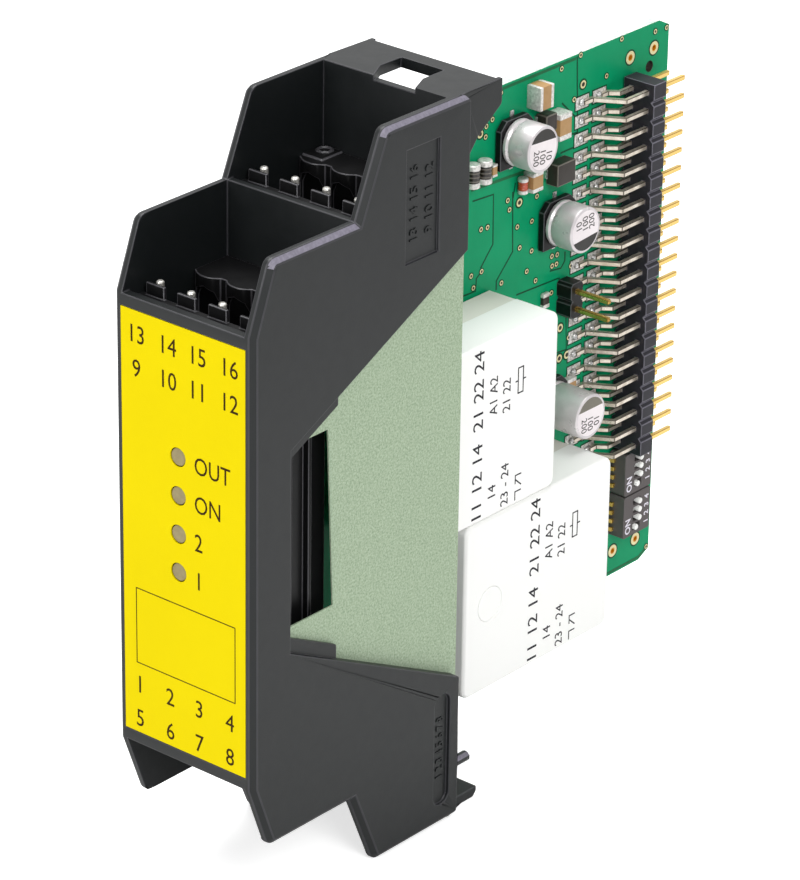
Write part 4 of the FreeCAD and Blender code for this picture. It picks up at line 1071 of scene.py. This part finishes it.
# ---- relays and capacitors ---------------------------------------------------------------
@dataclass
class RelayPrint:
    """Pin numbers and the coil and contact symbols of the relays, from each one's top rear corner."""

    outer: float = 6.58
    corners: tuple[tuple[str, Point], ...] = (("upper", (63.4, 12.2)), ("lower", (75.6, -12.6)))
    lines: tuple[Line, ...] = (
        ("11 12 14  21 22 24", (-16.0, -12.5), 1.9, 1.14), ("A1 A2", (-13.0, -7.7), 1.5, 0.95),
        ("14", (-13.0, -21.2), 1.5, 1.0), ("21 22", (-10.4, -8.5), 1.5, 0.95),
        ("23 - 24", (-10.4, -21.0), 1.5, 0.98))
    stroke: float = 0.18
    symbols: tuple[tuple[Point, ...], ...] = (
        ((-8.1, -8.95), (-7.1, -8.95), (-7.1, -5.45), (-8.1, -5.45), (-8.1, -8.95)),
        ((-8.65, -7.2), (-8.1, -7.2)), ((-7.1, -7.2), (-6.55, -7.2)),
        ((-8.2, -24.0), (-8.2, -22.8), (-7.0, -22.8)), ((-8.2, -21.7), (-8.2, -20.5), (-7.0, -20.5)),
        ((-7.0, -22.1), (-8.15, -21.1)))

    def build(self) -> None:
        """Print both relays."""
        for name, corner in self.corners:
            ink = Drawing(f"relay_print_{name}", Finishes.RELAY_INK, self.outer, origin=corner)
            ink.upward(self.lines)
            for symbol in self.symbols:
                ink.line(symbol, self.stroke)
            ink.make()


@dataclass(frozen=True)
class Can:
    """One round capacitor: its place on the board, its height and the way its segment points."""

    name: str
    place: Point
    height: float
    turn: float
    segment: Finish


@dataclass
class Capacitors:
    """The cans of the three round capacitors with their printed tops."""

    radius: float = 3.15
    foot: float = 1.1
    cans: tuple[Can, ...] = (
        Can("upper", (66.5, 31.6), 5.4, 86.0, Finishes.CAN_INK),
        Can("middle", (75.8, 17.7), 5.4, -86.0, Finishes.CAN_INK),
        Can("lower", (75.2, -7.9), 7.7, 90.0, Finishes.CAN_GREY_INK))
    crimp: tuple[Point, ...] = (
        (0.30, 0.0), (0.06, 0.12), (0.0, 0.32), (0.03, 0.55), (0.26, 0.8), (0.26, 0.92), (0.04, 1.2),
        (0.0, 1.4))
    shoulder: tuple[Point, ...] = ((0.0, 0.32), (0.06, 0.13), (0.2, 0.03), (0.36, 0.0), (0.46, 0.05))
    top_drop: float = 0.05
    reach: float = 2.73
    spread: float = 66.0
    steps: int = 18
    numbers: tuple[str, ...] = ("10", "100", "200")
    number_height: float = 1.12
    number_width: float = 0.9
    number_pitch: float = 1.3
    number_drop: float = 0.95

    def build(self) -> None:
        """Make each can and its print."""
        for can in self.cans:
            self._shell(can)
            self._print(can)

    def _shell(self, can: Can) -> None:
        """Turn the can: crimped foot, straight side, rolled shoulder and flat top."""
        work = lathe([(self.radius - inwards, self.foot + rise) for inwards, rise in self.crimp]
                     + [(self.radius - inwards, can.height - drop) for inwards, drop in self.shoulder])
        for face in work.faces:
            on_top = face.calc_center_median().x > can.height - self.top_drop - 0.01 and len(face.verts) > 4
            face.material_index = int(on_top)
        bmesh.ops.translate(work, verts=work.verts, vec=(BOARD_FACE, *can.place))
        finished(f"can_{can.name}", work, [Finishes.CAN, Finishes.CAN_TOP], [f"capacitor_{can.name}"],
                 smooth=35)

    def _print(self, can: Can) -> None:
        """Print the polarity segment and plain numbers on the top."""
        level = BOARD_FACE + can.height - self.top_drop
        dark = Drawing(f"can_segment_{can.name}", can.segment, level)
        middle, spread, place = math.radians(can.turn), math.radians(self.spread), Vector(can.place)
        turns = [middle - spread + 2 * spread * step / self.steps for step in range(self.steps + 1)]
        dark.plate([place + Vector((math.cos(turn), math.sin(turn))) * self.reach for turn in turns])
        dark.make()
        ink = Drawing(f"can_numbers_{can.name}", Finishes.CAN_INK, level)
        out = Vector((math.cos(middle), math.sin(middle)))
        for row, number in enumerate(self.numbers):
            at = place - out * self.number_drop + Vector((out.y, -out.x)) * self.number_pitch * (1 - row)
            ink.letters(number, at, self.number_height, self.number_width, turn=can.turn + 180)
        ink.make()


# ---- small parts -------------------------------------------------------------------------
@dataclass
class ChipParts:
    """Ceramic capacitors, chip resistors, moulded chips and round diodes."""

    proud: float = 0.03
    sideways: float = 34.0
    body_edge: float = 0.06
    end_edge: float = 0.09
    chip_edge: float = 0.14
    tab_edge: float = 0.05
    tab: Spot = (0.5, 0.35, 1.5)
    diode_cap: float = 0.24
    diode_rings: int = 3
    small_diode: float = 0.8

    def build(self) -> None:
        """Make every chip with its metal ends and solder."""
        self._two_ended("ceramic_chips", "ceramic_capacitors", Finishes.CERAMIC, 0.2)
        self._two_ended("resistor_chips", "chip_resistors", Finishes.CHIP, 0.26)
        self._moulded()
        self._diodes()

    def _two_ended(self, name: str, node: str, finish: Finish, share: float) -> None:
        """Make chips with a plated cap on both ends of their longer side.

        Args:
            name: The piece's name.
            node: The CAD node with the chips.
            finish: The body's finish.
            share: Part of the length that each cap takes.
        """
        work = bmesh.new()
        for low, high in islands(node):
            size = high - low
            axis = 1 if size.y > size.z or low.z > self.sideways else 2
            soft_block(work, low + Vector((0, self.proud, self.proud)), high - Vector((self.proud,) * 3),
                       self.body_edge, 0)
            first_high, second_low = high.copy(), low.copy()
            first_high[axis] = low[axis] + size[axis] * share
            second_low[axis] = high[axis] - size[axis] * share
            soft_block(work, low, first_high, self.end_edge, 1)
            soft_block(work, second_low, high, self.end_edge, 1)
        finished(name, work, [finish, Finishes.END_CAP], [node])

    def _moulded(self) -> None:
        """Make the moulded chips: a bevelled body with a painted highlight on its broken edges, a raised top
        and side tabs.
        """
        work = bmesh.new()
        for low, high in islands("moulded_chips"):
            # The body's broken edges take a painted highlight.
            soft_block(work, low + Vector((0.25, 0.1, 0.1)), high - Vector((0, 0.1, 0.1)), self.chip_edge, 0,
                       rim=2)
            start = (low.z + high.z - self.tab[2]) / 2
            for side in (low.y, high.y - self.tab[1]):
                corner = Vector((low.x, side, start))
                soft_block(work, corner, corner + Vector(self.tab), self.tab_edge, 1)
        finished("moulded_chip_bodies", work, [Finishes.CHIP, Finishes.SOLDER, Finishes.CHIP_RIM],
                 ["moulded_chips"])

    def _diodes(self) -> None:
        """Make the round diodes: metal ends, and between them a glass band or a dark band whose raised rings
        get a painted highlight.
        """
        work = bmesh.new()
        for low, high in islands("round_diodes"):
            radius, length = (high.x - low.x) / 2, high.z - low.z
            part = lathe(self._diode_profile(radius, length), 28)
            cap, glass = length * self.diode_cap, 2 if radius < self.small_diode else 0
            for face in part.faces:
                middle = face.calc_center_median()
                if middle.x < cap or middle.x > length - cap:
                    face.material_index = 1
                else:
                    # The raised faces of the rings on the dark diodes get a painted highlight.
                    raised = Vector((middle.y, middle.z)).length > radius * 0.93
                    face.material_index = 3 if raised and not glass else glass
            move = Matrix.Translation(((low.x + high.x) / 2, (low.y + high.y) / 2, low.z))
            bmesh.ops.transform(part, matrix=move @ Matrix.Rotation(-math.pi / 2, 4, "Y"), verts=part.verts)
            absorb(work, part)
        finished("glass_diodes", work,
                 [Finishes.DARK_BAND, Finishes.END_CAP, Finishes.GLASS_BAND, Finishes.CHIP_RIM],
                 ["round_diodes"])

    def _diode_profile(self, radius: float, length: float) -> list[Point]:
        """Give a diode's outline: an end cap, the glass with its rings and the other end cap."""
        cap, waist, ridge = length * self.diode_cap, radius * 0.9, radius * 0.95
        profile = [(radius * 0.86, 0.0), (radius, 0.1), (radius, cap - 0.05), (waist, cap)]
        for ring in range(self.diode_rings):
            at = cap + (length - 2 * cap) * (ring + 0.5) / self.diode_rings
            profile += [(waist, at - 0.14), (ridge, at - 0.08), (ridge, at + 0.08), (waist, at + 0.14)]
        return profile + [(waist, length - cap), (radius, length - cap + 0.05), (radius, length - 0.1),
                          (radius * 0.86, length)]


@dataclass
class HeaderFeet:
    """Pads and solder at the feet of the long pin header."""

    pitch: float = 2.54
    pins: int = 21
    top: float = 32.57
    feet: tuple[tuple[str, float], ...] = (("near", 81.3), ("far", 84.9))
    gap: Point = (-1.75, 1.35)
    gap_width: float = 2.1
    pad: Point = (-1.55, 1.15)
    pad_width: float = 1.7
    pad_thickness: float = 0.06
    blob: Spot = (0.72, 0.56, 0.5)
    blob_shift: float = -0.35
    blob_level: float = 0.12

    def build(self) -> None:
        """Lay the dark gaps, the pads and the solder of both rows."""
        heights = [self.top - self.pitch * index for index in range(self.pins)]
        for name, foot in self.feet:
            gaps, pads = ([((foot + start, height), (foot + end, height)) for height in heights]
                          for start, end in (self.gap, self.pad))
            strips(f"header_gaps_{name}", Finishes.TRACK, gaps, self.gap_width)
            strips(f"header_pads_{name}", Finishes.PAD, pads, self.pad_width, self.pad_thickness / 2,
                   thickness=self.pad_thickness)
            blobs = [(foot + self.blob_shift, height, self.blob_level) for height in heights]
            dabs(f"header_solder_{name}", Dab.BLOB, Finishes.SOLDER, blobs, [self.blob], turn=0.3,
                 uneven=0.25)


@dataclass
class CodeSwitches:
    """The eight sliding levers of the code switches and the print beside them."""

    top: float = -1.62
    origin_depth: float = 89.4
    bottoms: tuple[tuple[str, float, float], ...] = (("upper", -26.3, 1.35), ("lower", -32.7, 1.15))
    pitch: float = 1.25
    levers: tuple[int, ...] = (1, 2, 3, 4)
    word: Line = ("ON", (1.0, 1.6), 1.15, 0.95)
    digit_in: float = 5.0
    digit: float = 0.95

    def build(self) -> None:
        """Dress every lever and print ON and the lever numbers."""
        for name, bottom, first in self.bottoms:
            for lever in self.levers:
                Dressing(f"switch_knob_{name}_{lever}", f"lever_{name}_{lever}", [Finishes.LEVER], 0.06,
                         body=f"switch_{name}_lever_{lever}", smooth=50).make()
            ink = Drawing(f"switch_marks_{name}", Finishes.SWITCH_INK, self.top,
                          origin=(self.origin_depth, bottom))
            digits = [(str(lever), (self.digit_in, first + self.pitch * (lever - 1)), self.digit, 1.0)
                      for lever in self.levers]
            ink.upward([self.word, *digits], weight=0.02)
            ink.make()


def main() -> None:
    """Build the studio and every sub-assembly in order."""
    logging.basicConfig(level=logging.INFO, format="%(name)s %(message)s")
    for assembly in (Studio(), Housing(), FrontLabel(), Board(), PlainParts(), RelayPrint(), Capacitors(),
                     ChipParts(), HeaderFeet(), CodeSwitches()):
        assembly.build()


if __name__ == "__main__":
    main()
